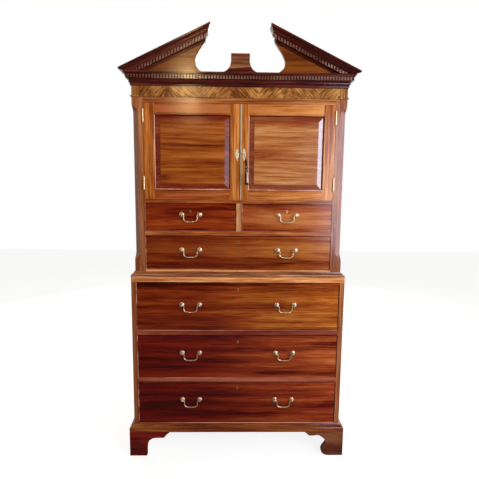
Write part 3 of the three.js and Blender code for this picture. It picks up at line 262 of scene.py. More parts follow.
SKIRT_TOP, SKIRT_FOOT = -27, -93.5
SKIRT_NECK, SKIRT_FLARE, SKIRT_BELL = 3.4, 6.8, 0.7
SKIRT_SWAY, SKIRT_SWAY_TURN = 3.2, 2.6
SKIRT_YARNS = 46
YARN_TURN = 0.382
YARN_INNERMOST = 0.35
YARN_UNEVEN = 0.06
YARN_RADIUS, YARN_TAPER = 0.8, 0.3
YARN_PLACES = (0, 0.15, 0.4, 0.7, 1)
YARN_RINGS = 9
YARN_SIDES = 6
PALE_FROM = 2.6
DARK_TIPS = 0.86


def turned(profile, sides):
    """Vertices and faces of a solid turned round Z; the profile runs from pole to pole."""
    verts, faces = [(0, 0, profile[0][1])], []
    rings = profile[1:-1]
    for r, z in rings:
        verts += [(r * math.cos(math.tau * k / sides), r * math.sin(math.tau * k / sides), z)
                  for k in range(sides)]
    verts.append((0, 0, profile[-1][1]))
    last = len(verts) - 1
    up = profile[0][1] < profile[-1][1]
    for k in range(sides):
        after = (k + 1) % sides
        faces.append((0, 1 + after, 1 + k) if up else (0, 1 + k, 1 + after))
        for i in range(len(rings) - 1):
            a, b = 1 + i * sides + k, 1 + i * sides + after
            ring = (a, b, b + sides, a + sides)
            faces.append(ring if up else ring[::-1])
        a, b = last - sides + k, last - sides + after
        faces.append((a, b, last) if up else (b, a, last))
    return verts, faces


verts, faces = turned(HEAD_PROFILE, HEAD_SIDES)
tassel_head = piece("silk_tassel_head", [Vector(v) + TASSEL_TOP for v in verts], faces, black_silk,
                    "tassel")
tassel_head.data.materials.append(cream_silk)
for polygon in tassel_head.data.polygons:
    off = polygon.center / MM - TASSEL_TOP
    wound = (math.atan2(off.y, off.x) / math.tau * WOUND_THREADS + off.z / WOUND_RISE) % 1
    polygon.material_index = int(wound < WOUND_SHARE)

verts, faces = turned(KNOT_PROFILE, HEAD_SIDES)
lean = CORD_LEAN / CORD_DROP
leaning = [TASSEL_TOP + Vector((x - lean * z, y, z)) for x, y, z in verts]
tassel_knot = piece("silk_tassel_knot", leaning, faces, black_silk, "tassel")


def yarn_radius(share, angle):
    """A yarn thins towards its tip."""
    return YARN_RADIUS * (1 - YARN_TAPER * share)


# Each yarn lies 0.382 of a turn from the last, which fills the skirt evenly. The steps of 37
# and 13 scatter how far the yarns stand out and how long they are.
verts, faces = [], []
for k in range(SKIRT_YARNS):
    angle = math.tau * k * YARN_TURN
    out = Vector((math.cos(angle), math.sin(angle), 0))
    spread = YARN_INNERMOST + (1 - YARN_INNERMOST) * (k * 37 % SKIRT_YARNS) / SKIRT_YARNS
    length = 1 - YARN_UNEVEN * (k * 13 % 7) / 7
    yarn = []
    for share in YARN_PLACES:
        reach = SKIRT_NECK + SKIRT_FLARE * spread * share ** SKIRT_BELL
        sway = SKIRT_SWAY * math.sin(share * SKIRT_SWAY_TURN) * share
        down = SKIRT_TOP + (SKIRT_FOOT - SKIRT_TOP) * share * length
        yarn.append(TASSEL_TOP + out * reach + Vector((sway, 0, down)))
    more, some = tube_mesh(drawn(yarn, YARN_RINGS), yarn_radius, YARN_SIDES)
    faces += [tuple(i + len(verts) for i in face) for face in some]
    verts += more
tassel_skirt = piece("silk_tassel_skirt", verts, faces, black_silk, "tassel")
tassel_skirt.data.materials.append(cream_silk)
for polygon in tassel_skirt.data.polygons:
    off = polygon.center / MM - TASSEL_TOP
    polygon.material_index = int(off.x > PALE_FROM and off.z > SKIRT_FOOT * DARK_TIPS)
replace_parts(tassel_head, "tassel")


# Floor and light
# A plain pale floor, a window and a doorway to the right of the camera, and a lamp and two
# lanterns near the ceiling, whose glints lie on the top rails and the left door. Softer light
# comes from the left and from behind, for the other sides.
FLOOR_SIZE = 14000
FLOOR_LIFT = 0.84
AMBIENT = 0.3
ROOM_DIM = 0.08
ROOM_FRONT, ROOM_BACK = -0.6, 0.4

floor_mesh = bpy.data.meshes.new("floor")
half = FLOOR_SIZE / 2 * MM
floor_mesh.from_pydata([(-half, -half, 0), (half, -half, 0), (half, half, 0), (-half, half, 0)], [],
                       [(0, 1, 2, 3)])
floor = bpy.data.objects.new("floor", floor_mesh)
bpy.context.collection.objects.link(floor)


def pale_floor(tree):
    """Matt pale floor that the camera sees as white, with the shadow kept."""
    rays = node(tree, "LightPath").outputs
    return {"Emission Strength": node(tree, "Math", {0: rays["Is Camera Ray"], 1: FLOOR_LIFT},
                                      operation="MULTIPLY").outputs[0]}


floor.data.materials.append(surface(
    "floor_paint", pale_floor, Base_Color=colour("#908f8c"), Roughness=0.9,
    Specular_IOR_Level=0.1, Emission_Color=(1, 1, 1, 1)))

# Polish and brass mirror a room that is dim before the press and bright behind it.
world = bpy.data.worlds.new("room")
world.use_nodes = True
bpy.context.scene.world = world
tree = world.node_tree
rays = node(tree, "LightPath").outputs
aim = node(tree, "SeparateXYZ", {0: node(tree, "TexCoord").outputs["Generated"]}).outputs
room = node(tree, "MapRange", {
    "Value": aim[1], "From Min": ROOM_FRONT, "From Max": ROOM_BACK, "To Min": ROOM_DIM,
    "To Max": 1})
seen = node(tree, "Math", {
    0: rays["Is Glossy Ray"], 1: rays["Is Transmission Ray"]}, operation="MAXIMUM")
lit = node(tree, "Mix", {0: seen.outputs[0], 2: AMBIENT, 3: room.outputs[0]})
strength = node(tree, "Mix", {0: rays["Is Camera Ray"], 2: lit.outputs[0], 3: 1.0})
background = tree.nodes["Background"].inputs
background["Color"].default_value = (1, 1, 1, 1)
tree.links.new(strength.outputs[0], background["Strength"])


def lamp(name, place, target, size, power, tint):
    """A soft rectangular light at a place, aimed at a target. Lengths are in metres."""
    data = bpy.data.lights.new(name, "AREA")
    data.shape = "RECTANGLE"
    data.size, data.size_y = size
    data.energy = power
    data.color = colour(tint)[:3]
    made = bpy.data.objects.new(name, data)
    made.location = place
    made.rotation_euler = (Vector(target) - Vector(place)).to_track_quat("-Z", "Y").to_euler()
    made.visible_camera = False
    bpy.context.collection.objects.link(made)


lamp("window", (2.18, -2.26, 1.7), (0, 0, 1.45), (1.3, 1.7), 68, "#e4eeff")
lamp("side_daylight", (2.7, 0.1, 1.5), (0, -0.2, 1.4), (1.4, 1.7), 22, "#e2e8ff")
lamp("doorway", (1.35, -3.2, 1.5), (0.4, 0, 1.4), (0.45, 1.6), 28, "#d8e5ff")
lamp("ceiling_lamp", (-0.56, -3.0, 2.6), (-0.3, 0, 1.7), (0.1, 0.5), 12, "#ffd896")
lamp("lantern", (-0.37, -1.09, 2.6), (-0.25, -0.25, 1.8), (0.1, 0.1), 1.3, "#ffd896")
lamp("second_lantern", (-0.36, -1.4, 2.6), (-0.22, -0.25, 1.8), (0.16, 0.1), 0.9, "#ffd896")
lamp("fill", (-2.4, -2.6, 1.9), (0, 0, 1.1), (1.8, 1.8), 7, "#fff1e0")
lamp("left_wall", (-2.8, 2.4, 1.7), (-0.3, 0.1, 1.2), (1.4, 1.8), 46, "#fff4e8")
lamp("back_wall", (0.9, 3.4, 2.2), (0, 0.2, 1.2), (2.2, 1.8), 62, "#fff6ec")


# Feet
# Bracket feet of dark red mahogany, each two brackets mitred at the corner and glued to a block.
# Straight-sawn wood: veins 10 to 30 mm apart that run along the board, fine lines a few
# millimetres apart, and pores 0.3 mm wide, drawn 1.5 mm wide to show. Shellac gives a warm gloss.
BAND_VEINS = 4
LINE_SPACING = 4.5
PORE_WIDTH = 1.5
WAVE_LENGTH = 142.857
MOTTLE_WIDTH = 130
RUB_WIDTH = 111.111
WANDER = 14
GRAIN_STRETCH, WAVE_STRETCH = 0.04, 0.3
BAND_WEIGHT, VEIN_WEIGHT, LINE_WEIGHT, MOTTLE_WEIGHT = 0.9, 0.9, 0.5, 0.35
TONE_REACH = 0.22
# Painted shade: a darker red laid over the wood towards the left of the press, fading out towards
# the right, where the window is.
SHADE_RED = "#a05040"
SHADED_SIDE, LIT_SIDE = -300, 650
PORE_SHADE = 0.78
SOFT_EDGE = 0.7
SHARP_ANGLE = math.radians(35)
RETURN_DEPTH, RETURN_FRONT = 50, -283


def board(tree, along, seed, shades, streak=26, deep=0.0, contrast=1.0, slope=0.0):
    """Colour and pores of one board, with its grain along one axis of the press, or along a
    slope up to the right. Shades are dark, middle and light, and streak is the veins' spacing.
    Its strength, given as an argument, is painted shade: a darker red, full at the left side of the
    press, away from the window, and nothing at the right."""
    place = node(tree, "TexCoord").outputs["Object"]
    own = node(tree, "Mapping", {"Vector": place, "Location": (seed, seed * 0.7, seed * 1.3),
                                 "Rotation": (0, slope, 0)})
    slow = node(tree, "Mapping", {
        "Vector": own.outputs[0],
        "Scale": [WAVE_STRETCH if axis == along else 1 for axis in "XYZ"]})
    drift = node(tree, "TexNoise", {
        "Vector": slow.outputs[0], "Scale": 1 / (WAVE_LENGTH * MM), "Detail": 2})
    wavy = node(tree, "VectorMath", {
        0: drift.outputs["Color"], 1: (2 * WANDER * MM,) * 3, 2: own.outputs[0]},
                operation="MULTIPLY_ADD")
    run = node(tree, "Mapping", {
        "Vector": wavy.outputs[0],
        "Scale": [GRAIN_STRETCH if axis == along else 1 for axis in "XYZ"]}).outputs[0]
    band = node(tree, "TexNoise", {
        "Vector": run, "Scale": 1 / (BAND_VEINS * streak * MM), "Detail": 2})
    vein = node(tree, "TexNoise", {
        "Vector": run, "Scale": 1 / (streak * MM), "Detail": 6, "Roughness": 0.62})
    line = node(tree, "TexNoise", {"Vector": run, "Scale": 1 / (LINE_SPACING * MM), "Detail": 2})
    cloud = node(tree, "TexNoise", {
        "Vector": slow.outputs[0], "Scale": 1 / (MOTTLE_WIDTH * MM), "Detail": 2})
    tone, middle = 0.0, 0.0
    for layer, weight in ((band, BAND_WEIGHT), (vein, VEIN_WEIGHT), (line, LINE_WEIGHT),
                          (cloud, MOTTLE_WEIGHT)):
        tone = node(tree, "Math", {0: layer.outputs[0], 1: weight, 2: tone},
                    operation="MULTIPLY_ADD").outputs[0]
        middle += weight / 2
    reach = TONE_REACH / contrast
    spread = node(tree, "MapRange", {
        "Value": tone, "From Min": middle - reach, "From Max": middle + reach})
    dark, plain, light = (colour(shade) for shade in shades)
    shade = node(tree, "ValToRGB", {"Fac": spread.outputs[0]},
                 stops=[(0.05, dark), (0.5, plain), (0.95, light)]).outputs[0]
    # Painted shade: the wood is darkened towards red at the left of the press.
    if deep:
        x = node(tree, "SeparateXYZ", {0: place}).outputs[0]
        left = node(tree, "MapRange", {
            "Value": x, "From Min": SHADED_SIDE * MM, "From Max": LIT_SIDE * MM, "To Min": deep,
            "To Max": 0}, interpolation_type="SMOOTHSTEP")
        shade = node(tree, "Mix", {0: left.outputs[0], 6: shade, 7: colour(SHADE_RED)},
                     data_type="RGBA", blend_type="MULTIPLY").outputs[2]
    pore = node(tree, "TexNoise", {"Vector": run, "Scale": 1 / (PORE_WIDTH * MM), "Detail": 1})
    return shade, pore.outputs[0]


def polished(boards):
    """Links of polished wood, from what gives its colour and pores: dark flecks in the pores,
    and a gloss that is rubbed duller in patches."""
    def links(tree):
        shade, pore = boards(tree)
        flecks = node(tree, "MapRange", {
            "Value": pore, "From Min": 0.28, "From Max": 0.42, "To Min": PORE_SHADE, "To Max": 1})
        darker = node(tree, "VectorMath", {0: shade, "Scale": flecks.outputs[0]}, operation="SCALE")
        rub = node(tree, "TexNoise", {
            "Vector": node(tree, "TexCoord").outputs["Object"], "Scale": 1 / (RUB_WIDTH * MM),
            "Detail": 3})
        gloss = node(tree, "MapRange", {"Value": rub.outputs[0], "To Min": 0.1, "To Max": 0.24})
        bump = node(tree, "Bump", {"Height": pore, "Strength": 0.1, "Distance": 0.4 * MM})
        return {"Base Color": darker.outputs[0], "Roughness": gloss.outputs[0],
                "Normal": bump.outputs[0]}
    return links


def french_polish(name, boards, shine=0.3):
    """A show-wood material: thin shellac over filled grain, warm and glossy."""
    return surface(name, polished(boards), Specular_IOR_Level=shine)


def mahogany(name, along, seed, shades, **figure):
    """French-polished mahogany from one board."""
    return french_polish(name, lambda tree: board(tree, along, seed, shades, **figure))


def dress(names, material, soft=SOFT_EDGE):
    """Gives CAD nodes a finish, and rounds their sharp edges by a little, in millimetres."""
    for name in names:
        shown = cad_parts[name]
        for place in shown.material_slots:
            place.material = material
        if soft:
            bevel = shown.modifiers.new("softened edges", "BEVEL")
            bevel.width = soft * MM
            bevel.segments = 2
            bevel.limit_method = "ANGLE"
            bevel.angle_limit = SHARP_ANGLE


def refinish(name, material, chosen):
    """Gives another finish to the faces of a CAD node whose centres, in millimetres, are chosen."""
    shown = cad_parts[name]
    shown.data.materials.append(material)
    for polygon in shown.data.polygons:
        if chosen(polygon.center / MM):
            polygon.material_index = len(shown.data.materials) - 1


def mitred(names, wood, seed, shades, soft=SOFT_EDGE, **figure):
    """Dresses work that is mitred at the corners: level grain on the front, and grain from
    front to back on the sides."""
    dress(names, mahogany(wood, "X", seed, shades, **figure), soft)
    returns = mahogany(wood + "_returns", "Y", seed + 0.4, shades, **figure)
    for name in names:
        out = max(abs(corner[0]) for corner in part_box(name)) / MM - RETURN_DEPTH
        refinish(name, returns, lambda at: abs(at.x) > out and at.y > RETURN_FRONT)


# The left feet are dark red and the right ones browner: painted shade at the left, away from the
# window, and painted light at the right, by it.
mitred(["foot_front_left", "foot_rear_left"], "mahogany_foot_left", 1.3,
       ("#3b0302", "#630904", "#8b1f0c"))
mitred(["foot_front_right", "foot_rear_right"], "mahogany_foot_right", 4.1,
       ("#40160c", "#662e18", "#88502e"))


# Lower case
# The base moulding is planted on round three sides. The sides are solid boards with upright
# grain and soft veins, and the rails between the drawers are slips of plainer, redder wood.
mitred(["base_moulding"], "mahogany_base", 2.2, ("#591d08", "#87411a", "#b16d2e"))
dress(["lower_side_left", "lower_side_right"], mahogany(
    "mahogany_lower_sides", "Z", 6.6, ("#5e2812", "#8e4c28", "#b67244"), contrast=0.7))
dress(["lower_rail_1", "lower_rail_2"], mahogany(
    "mahogany_rails", "X", 8.1, ("#6a2211", "#8e4027", "#af5b41")))
dress(["lower_top"], mahogany(
    "mahogany_lower_top", "X", 3.9, ("#b2632f", "#dc8c51", "#f6b373"), streak=12))


# Waist moulding
# Two reeds and a cove, planted round three sides to hide the joint between the cases. The reeds are
# as pale as the top board, with painted shade darkening the moulding at the left. The quirk and the
# cove are painted brown, as the shade that lies in them.
QUIRK = (998.4, 1000.2)
COVE = (1007.6, 1019)

mitred(["waist_moulding"], "mahogany_waist", 5.2, ("#8e5434", "#bc8058", "#e4b490"), streak=9,
       deep=0.3)
# Painted shade in the quirk and the cove.
refinish("waist_moulding", mahogany(
    "mahogany_painted_shade_in_quirk_and_cove", "X", 5.9, ("#5c2c14", "#8e5228", "#bc7c42")),
         lambda at: QUIRK[0] < at.z < QUIRK[1] or COVE[0] < at.z < COVE[1])


# Upper case
# Solid sides whose front stiles are canted above the waist and stopped below the frieze, and
# rails of straight-grained wood. The right side's board is the browner of the two, and the upright
# between the short drawers is the palest.
UPRIGHT_FOOT, UPRIGHT_HALF = 1232.5, 15

for side, shades in (("left", ("#71361c", "#9d5c34", "#c2834f")),
                     ("right", ("#642c16", "#8c4c2a", "#ae7042"))):
    dress(["upper_side_" + side], mahogany(
        "mahogany_upper_side_" + side, "Z", 7.4, shades, contrast=0.7, streak=18))
# The top rail is painted darker at the left, as shade.
dress(["upper_top"], mahogany(
    "mahogany_top_rail", "X", 3.1, ("#7c3c14", "#a86430", "#cc8a4c"), streak=12, deep=0.5))
dress(["upper_bottom"], mahogany(
    "mahogany_foot_rail", "X", 2.7, ("#974d1f", "#c57a44", "#e8a466"), streak=12))
dress(["drawer_rail_upper", "door_rail_board"], mahogany(
    "mahogany_upper_rails", "X", 9.4, ("#813818", "#a95a29", "#cd7e41"), streak=12))
refinish("drawer_rail_upper", mahogany(
    "mahogany_upright", "Z", 9.9, ("#a06838", "#c48c58", "#dcb080"), streak=9),
         lambda at: at.z > UPRIGHT_FOOT and abs(at.x) < UPRIGHT_HALF)


# Drawers
# Fronts of figured mahogany with a cock bead let in round the edge, and sides, back and bottom
# of plain oak behind them. Brass threads line the keyholes of the drawers. A face is picked by
# its centre, with a little slack.
FACE_SLACK, BACK_SLACK = 0.2, 0.5
FRONT_THICKNESS = 20
# Bead colours: a pale one that paints a highlight, and a dark one that paints shade.
BEAD_SHADES = ("#6a3020", "#9a5c42", "#cc987c")
SHADED_BEAD_SHADES = ("#2e0c06", "#4c1a0c", "#6a2e18")
BEAD_REACH, BEAD_WIDTH = 2.4, 3.6
POST_REACH = 20
THREAD_RADIUS, THREAD_SLOT, THREAD_DROP = 2.6, 1.2, 8.0
THREAD_WIDTH = 1.7
KEYHOLE_STEPS = 18
THREAD_PROUD, THREAD_DEPTH = 0.4, 3.0
OPENING_PLAY = 1.3
BRASS_CLOUD = 7.1429
OAK_SHADES = ("#784e30", "#a27448", "#c29464")
SIDE_THICKNESS = 14


def waxed_oak(name, along, seed):
    """Plain oak, planed and waxed: even tan with fine brown lines."""
    return surface(name, polished(lambda tree: board(
        tree, along, seed, OAK_SHADES, streak=20, contrast=0.8)), Specular_IOR_Level=0.3)


oak = waxed_oak("oak_boards", "X", 30.1)
oak_sides = waxed_oak("oak_side_boards", "Y", 33.4)


def refinish_sides(name, front):
    """Gives the sides of a drawer or tray, behind a plane, boards with grain from front to back."""
    left, right = (corner[0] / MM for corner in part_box(name))
    refinish(name, oak_sides, lambda at: at.y > front and (
        at.x < left + SIDE_THICKNESS or at.x > right - SIDE_THICKNESS))


# The beads are painted pale at the left and below, as a highlight. At the right and above they are
# painted dark as shade, and read as a dark line.
painted_highlight_bead = mahogany("mahogany_beads_painted_pale", "X", 16.2, BEAD_SHADES)
shaded_bead = mahogany("mahogany_shaded_beads", "X", 17.5, SHADED_BEAD_SHADES)

# Each front has its own board, redder and darker the nearer to the floor: its seed, its shades, how
# strongly it is painted darker at the left as shade, and how far up the opening its keyhole is.
DRAWERS = {
    "lower_drawer_top": (11.1, ("#5a1602", "#aa5418", "#dc9438"), 0.9, 0.856),
    "lower_drawer_middle": (12.7, ("#5c1002", "#a44418", "#cc7838"), 1.0, 0.852),
    "lower_drawer_bottom": (13.5, ("#600a02", "#9c3c14", "#c4682c"), 1.0, 0.854),
    "upper_long_drawer": (14.9, ("#4e0c02", "#9a4816", "#c07832"), 0.8, 0.82),
    "short_drawer_left": (15.7, ("#6c1604", "#b04c18", "#d88434"), 0.5, 0.735),
    "short_drawer_right": (18.3, ("#6c1e06", "#a44e1e", "#c87e42"), 0.4, 0.735),
}


def keyhole(radius, slot, drop):
    """Outline of a keyhole as x and z, from the right foot of its slot round to the left."""
    start = -math.acos(slot / radius)
    sweep = math.pi - 2 * start
    arc = [start + sweep * i / KEYHOLE_STEPS for i in range(KEYHOLE_STEPS + 1)]
    return ([(slot, -drop)] + [(radius * math.cos(a), radius * math.sin(a)) for a in arc]
            + [(-slot, -drop)])


def ring_mesh(loops):
    """A closed band through loops of points that returns to its first loop."""
    count = len(loops[0])
    verts = [point for loop in loops for point in loop]
    faces = []
    for i in range(len(loops)):
        after = (i + 1) % len(loops)
        for k in range(count):
            k2 = (k + 1) % count
            faces.append((i * count + k, i * count + k2, after * count + k2, after * count + k))
    return verts, faces


def old_brass(tree):
    """Cast and filed brass, lacquered long ago: pale gold, browner in its clouds."""
    place = node(tree, "TexCoord").outputs["Object"]
    dull = node(tree, "TexNoise", {
        "Vector": place, "Scale": 1 / (BRASS_CLOUD * MM), "Detail": 3})
    shade = node(tree, "ValToRGB", {"Fac": dull.outputs[0]},
                 stops=[(0.3, colour("#c8a678")), (0.7, colour("#f4e0c0"))])
    gloss = node(tree, "MapRange", {"Value": dull.outputs[0], "To Min": 0.26, "To Max": 0.46})
    bump = node(tree, "Bump", {
        "Height": dull.outputs[0], "Strength": 0.15, "Distance": 0.3 * MM})
    return {"Base Color": shade.outputs[0], "Roughness": gloss.outputs[0],
            "Normal": bump.outputs[0]}


brass = surface("old_brass", old_brass, Metallic=1)

for name, (seed, shades, deep, share) in DRAWERS.items():
    low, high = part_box(name)
    front_y = low[1] / MM + POST_REACH
    dress([name], french_polish("mahogany_" + name, lambda tree: board(
        tree, "X", seed, shades, deep=deep, contrast=0.8), shine=0.22), soft=1)
    back_y = front_y + FRONT_THICKNESS
    edge_x, edge_z = (high[axis] / MM - BEAD_WIDTH - FACE_SLACK for axis in (0, 2))

    def beaded(at):
        return front_y - BEAD_REACH - FACE_SLACK < at.y < front_y - FACE_SLACK
    refinish(name, painted_highlight_bead, beaded)
    refinish(name, shaded_bead, lambda at: beaded(at) and (at.x > edge_x or at.z > edge_z))
    refinish(name, oak, lambda at: at.y > back_y - BACK_SLACK)
    refinish_sides(name, back_y + BACK_SLACK)
    refinish(name, brass, lambda at: at.y < front_y - BEAD_REACH - FACE_SLACK)
    opening = (high[2] - low[2]) / MM + OPENING_PLAY
    centre = ((low[0] + high[0]) / 2 / MM, low[2] / MM + share * opening)
    loops = []
    for more, y in ((0, THREAD_DEPTH), (0, -THREAD_PROUD), (THREAD_WIDTH, -THREAD_PROUD),
                    (THREAD_WIDTH, THREAD_DEPTH)):
        outline = keyhole(THREAD_RADIUS + more, THREAD_SLOT + more, THREAD_DROP + more)
        loops.append([(centre[0] + x, front_y + y, centre[1] + z) for x, z in outline])
    verts, faces = ring_mesh(loops)
    piece("keyhole_thread_" + name, verts, faces, brass, name, smooth=False)


# Handles
# Cast brass swan-neck bails, thicker at the middle, hung from turned posts on moulded roses that
# are screwed through the drawer front. Each bail swings on the pins at its ends.
HANDLE_HALF = 46.5
HANDLE_DROP = 37
BAIL_HALF = ((0.96, 0), (0.92, 0), (0.87, 0.004), (0.785, 0.09), (0.735, 0.27), (0.755, 0.52),
             (0.69, 0.77), (0.47, 0.95), (0, 1))
BAIL_PIN = 3.0
CAD_ROD = 2.4
ROD_END, ROD_SWELL = 2.45, 0.8
BAIL_RINGS, BAIL_SIDES = 64, 12
POST_AXIS = 14.5
ROSE_SIDES = 28
ROSE_PROFILE = ((0, -0.5), (13.2, -0.5), (13.2, 1.6), (12.8, 2.3), (12, 2.8), (11.2, 3),
                (10.6, 3.2), (9.6, 4.6), (8.8, 5.4), (7.8, 5.8), (6.8, 5.6), (5.4, 6.2),
                (4.9, 7.2), (4.8, 9), (5.4, 10), (6.3, 10.8), (6.6, 12.5), (6.7, 15),
                (6.5, 17.5), (5.6, 19.4), (4, 20.6), (0, 21.4))


def bail_radius(share, angle):
    """Thin at the pins and swelling towards the grip."""
    return ROD_END + ROD_SWELL * math.sin(math.pi * share) ** 3


BAILS = [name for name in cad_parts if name.startswith("bail_")]
for name in BAILS:
    low, high = (corner / MM for corner in map(Vector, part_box(name)))
    centre = Vector(((low.x + high.x) / 2, (low.y + high.y) / 2, high.z - CAD_ROD))
    right = [(HANDLE_HALF + BAIL_PIN, 0), (HANDLE_HALF, 0)]
    right += [(x * HANDLE_HALF, -down * HANDLE_DROP) for x, down in BAIL_HALF]
    outline = right + [(-x, z) for x, z in right[-2::-1]]
    path = [centre + p for p in drawn([(x, 0, z) for x, z in outline], BAIL_RINGS)]
    verts, faces = tube_mesh(path, bail_radius, BAIL_SIDES, first=(0, 1, 0))
    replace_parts(piece("swan_neck_" + name, verts, faces, brass, name), name)
    handle = name.removeprefix("bail_")
    drawer = handle if handle in DRAWERS else handle.rsplit("_", 1)[0]
    verts, faces = turned(ROSE_PROFILE, ROSE_SIDES)
    pair, pair_faces = [], []
    for end in (-1, 1):
        pair_faces += [tuple(i + len(pair) for i in face) for face in faces]
        pair += [centre + Vector((end * HANDLE_HALF + x, POST_AXIS - z, y)) for x, y, z in verts]
    piece("roses_" + handle, pair, pair_faces, brass, drawer)


# Doors
# Framed doors, tenoned at the corners, with raised and fielded panels that float in their grooves.
# The sight edges at the left and below are painted pale, as a highlight, and the others are painted
# dark, as shade. A bead of wood stands at the edge where the doors meet, painted pale as a
# highlight.
SIGHT_NEAR, SIGHT_FAR = 49, 426
SIGHT_FOOT, SIGHT_HEAD = 1449.8, 1815.3
JOINT_WIDTH = 0.7
JOINT_SHADE = "#3a1608"
DOOR_FRONT = -246
DOOR_CHAMFER = 3
FIELD_FRONT = -244.5
PANEL_BEVEL = 12
FRAME_SHADES = ("#8e430d", "#c06f29", "#e49b52")

# The left panel is a board of dark orange brown, painted darker at its left as shade. The right
# one, by the window, is painted paler as the window's light.
dress(["door_panel_left"], mahogany(
    "mahogany_panel_left", "X", 21.3, ("#6a2402", "#aa5a18", "#d08434"), streak=13, deep=0.5,
    contrast=0.75))
dress(["door_panel_right"], mahogany(
    "mahogany_panel_right", "X", 22.9, ("#863812", "#a96430", "#cc905a"), streak=12,
    contrast=0.75))
# The bevels round both panels are painted darker than the fields as shade, most round the left
# panel. The right panel's mirror the window in a thick polish.
for name, shine, shades in (("door_panel_left", 0.18, ("#400802", "#74240c", "#9c4c28")),
                            ("door_panel_right", 1.0, ("#5c1c0c", "#843818", "#a86040"))):
    refinish(name, french_polish("mahogany_painted_shade_bevel_of_" + name, lambda tree: board(
        tree, "X", 25.1, shades, contrast=0.6), shine=shine),
             lambda at: FIELD_FRONT + FACE_SLACK < at.y < FIELD_FRONT + PANEL_BEVEL)


def door_frame(tree):
    """Stiles with upright grain and rails with level grain between them, parted by fine joints."""
    # The stiles and, more strongly, the rails are painted darker at the left, as shade.
    stile, stile_pore = board(tree, "Z", 17.2, FRAME_SHADES, streak=12, deep=0.25)
    rail, rail_pore = board(tree, "X", 18.8, FRAME_SHADES, streak=12, deep=0.75)
    x = node(tree, "SeparateXYZ", {0: node(tree, "TexCoord").outputs["Object"]}).outputs[0]
    out = node(tree, "Math", {0: x}, operation="ABSOLUTE").outputs[0]
    middle, half = (SIGHT_NEAR + SIGHT_FAR) / 2 * MM, (SIGHT_FAR - SIGHT_NEAR) / 2 * MM
    between = node(tree, "Math", {0: out, 1: middle, 2: half}, operation="COMPARE").outputs[0]
    wider = node(tree, "Math", {0: out, 1: middle, 2: half + JOINT_WIDTH * MM},
                 operation="COMPARE").outputs[0]
    joint = node(tree, "Math", {0: wider, 1: between}, operation="SUBTRACT").outputs[0]
    shade = node(tree, "Mix", {0: between, 6: stile, 7: rail}, data_type="RGBA").outputs[2]
    lined = node(tree, "Mix", {0: joint, 6: shade, 7: colour(JOINT_SHADE)}, data_type="RGBA")
    pore = node(tree, "Mix", {0: between, 2: stile_pore, 3: rail_pore})
    return lined.outputs[2], pore.outputs[0]


# Painted highlight: pinkish pale on the left and lower sight edges. Painted shade: dark on the
# others.
painted_highlight_edge = mahogany("mahogany_rubbed_edge", "Z", 23.7, ("#a87a60", "#cfa290", "#ecd0c4"))
shaded_edge = mahogany("mahogany_shaded_edge", "X", 24.9, ("#300a04", "#541a0a", "#703018"))
dress(["door_frame_left", "door_frame_right"], french_polish("mahogany_door_frames", door_frame))
for name, left_edge in (("door_frame_left", -SIGHT_FAR), ("door_frame_right", SIGHT_NEAR)):
    def chamfered(at):
        return (DOOR_FRONT + FACE_SLACK < at.y < DOOR_FRONT + DOOR_CHAMFER - FACE_SLACK
                and SIGHT_NEAR - DOOR_CHAMFER < abs(at.x) < SIGHT_FAR + DOOR_CHAMFER
                and SIGHT_FOOT - DOOR_CHAMFER < at.z < SIGHT_HEAD + DOOR_CHAMFER)
    refinish(name, shaded_edge, chamfered)
    refinish(name, painted_highlight_edge,
             lambda at: chamfered(at) and (at.x < left_edge or at.z < SIGHT_FOOT))
# The bead is painted pale and greyish as a highlight, and reads as a light line between the doors.
dress(["astragal"], mahogany("painted_highlight_astragal", "Z", 19.9, ("#806848", "#ae9670", "#d4be98")), soft=0)


# Hinges, escutcheons, lock and key
# Cast brass butts with turned knuckles, pierced plates pinned to the doors, and a filed brass key
# in a cut lock of iron. The plates and key are paler, where polish has worn the lacquer off.
HINGES = ("hinge_left_upper", "hinge_left_lower", "hinge_right_upper", "hinge_right_lower")
HINGE_AXIS = (484.5, -250.3)
KNUCKLES = 5
KNUCKLE_RADIUS, KNUCKLE_GROOVE = 4.2, 4.04
KNUCKLE_CHAMFER = 0.5
TIP_PROFILE = ((0, -3.5), (2, -3.5), (3, -2.1), (2.6, -0.2))
HINGE_SIDES = 20
RUBBED_SPOT = 6.25
FILE_MARK, FILE_MARK_LENGTH = 2, 10


def worn_plate(tree):
    """Brass rubbed nearly white: silvery, with warm brown left in the hollows."""
    place = node(tree, "TexCoord").outputs["Object"]
    rubbed = node(tree, "TexNoise", {
        "Vector": place, "Scale": 1 / (RUBBED_SPOT * MM), "Detail": 3})
    shade = node(tree, "ValToRGB", {"Fac": rubbed.outputs[0]},
                 stops=[(0.35, colour("#c4b28c")), (0.6, colour("#fbf3de"))])
    gloss = node(tree, "MapRange", {"Value": rubbed.outputs[0], "To Min": 0.42, "To Max": 0.6})
    return {"Base Color": shade.outputs[0], "Roughness": gloss.outputs[0]}


def filed_iron(dark, pale):
    """Wrought iron, filed flat: fine level marks, drawn 2 mm apart to show."""
    def links(tree):
        place = node(tree, "Mapping", {"Vector": node(tree, "TexCoord").outputs["Object"],
                                       "Scale": (FILE_MARK / FILE_MARK_LENGTH,) * 2 + (1,)})
        marks = node(tree, "TexNoise", {
            "Vector": place.outputs[0], "Scale": 1 / (FILE_MARK * MM), "Detail": 2})
        shade = node(tree, "ValToRGB", {"Fac": marks.outputs[0]},
                     stops=[(0.3, colour(dark)), (0.7, colour(pale))])
        gloss = node(tree, "MapRange", {"Value": marks.outputs[0], "To Min": 0.45, "To Max": 0.65})
        return {"Base Color": shade.outputs[0], "Roughness": gloss.outputs[0]}
    return links


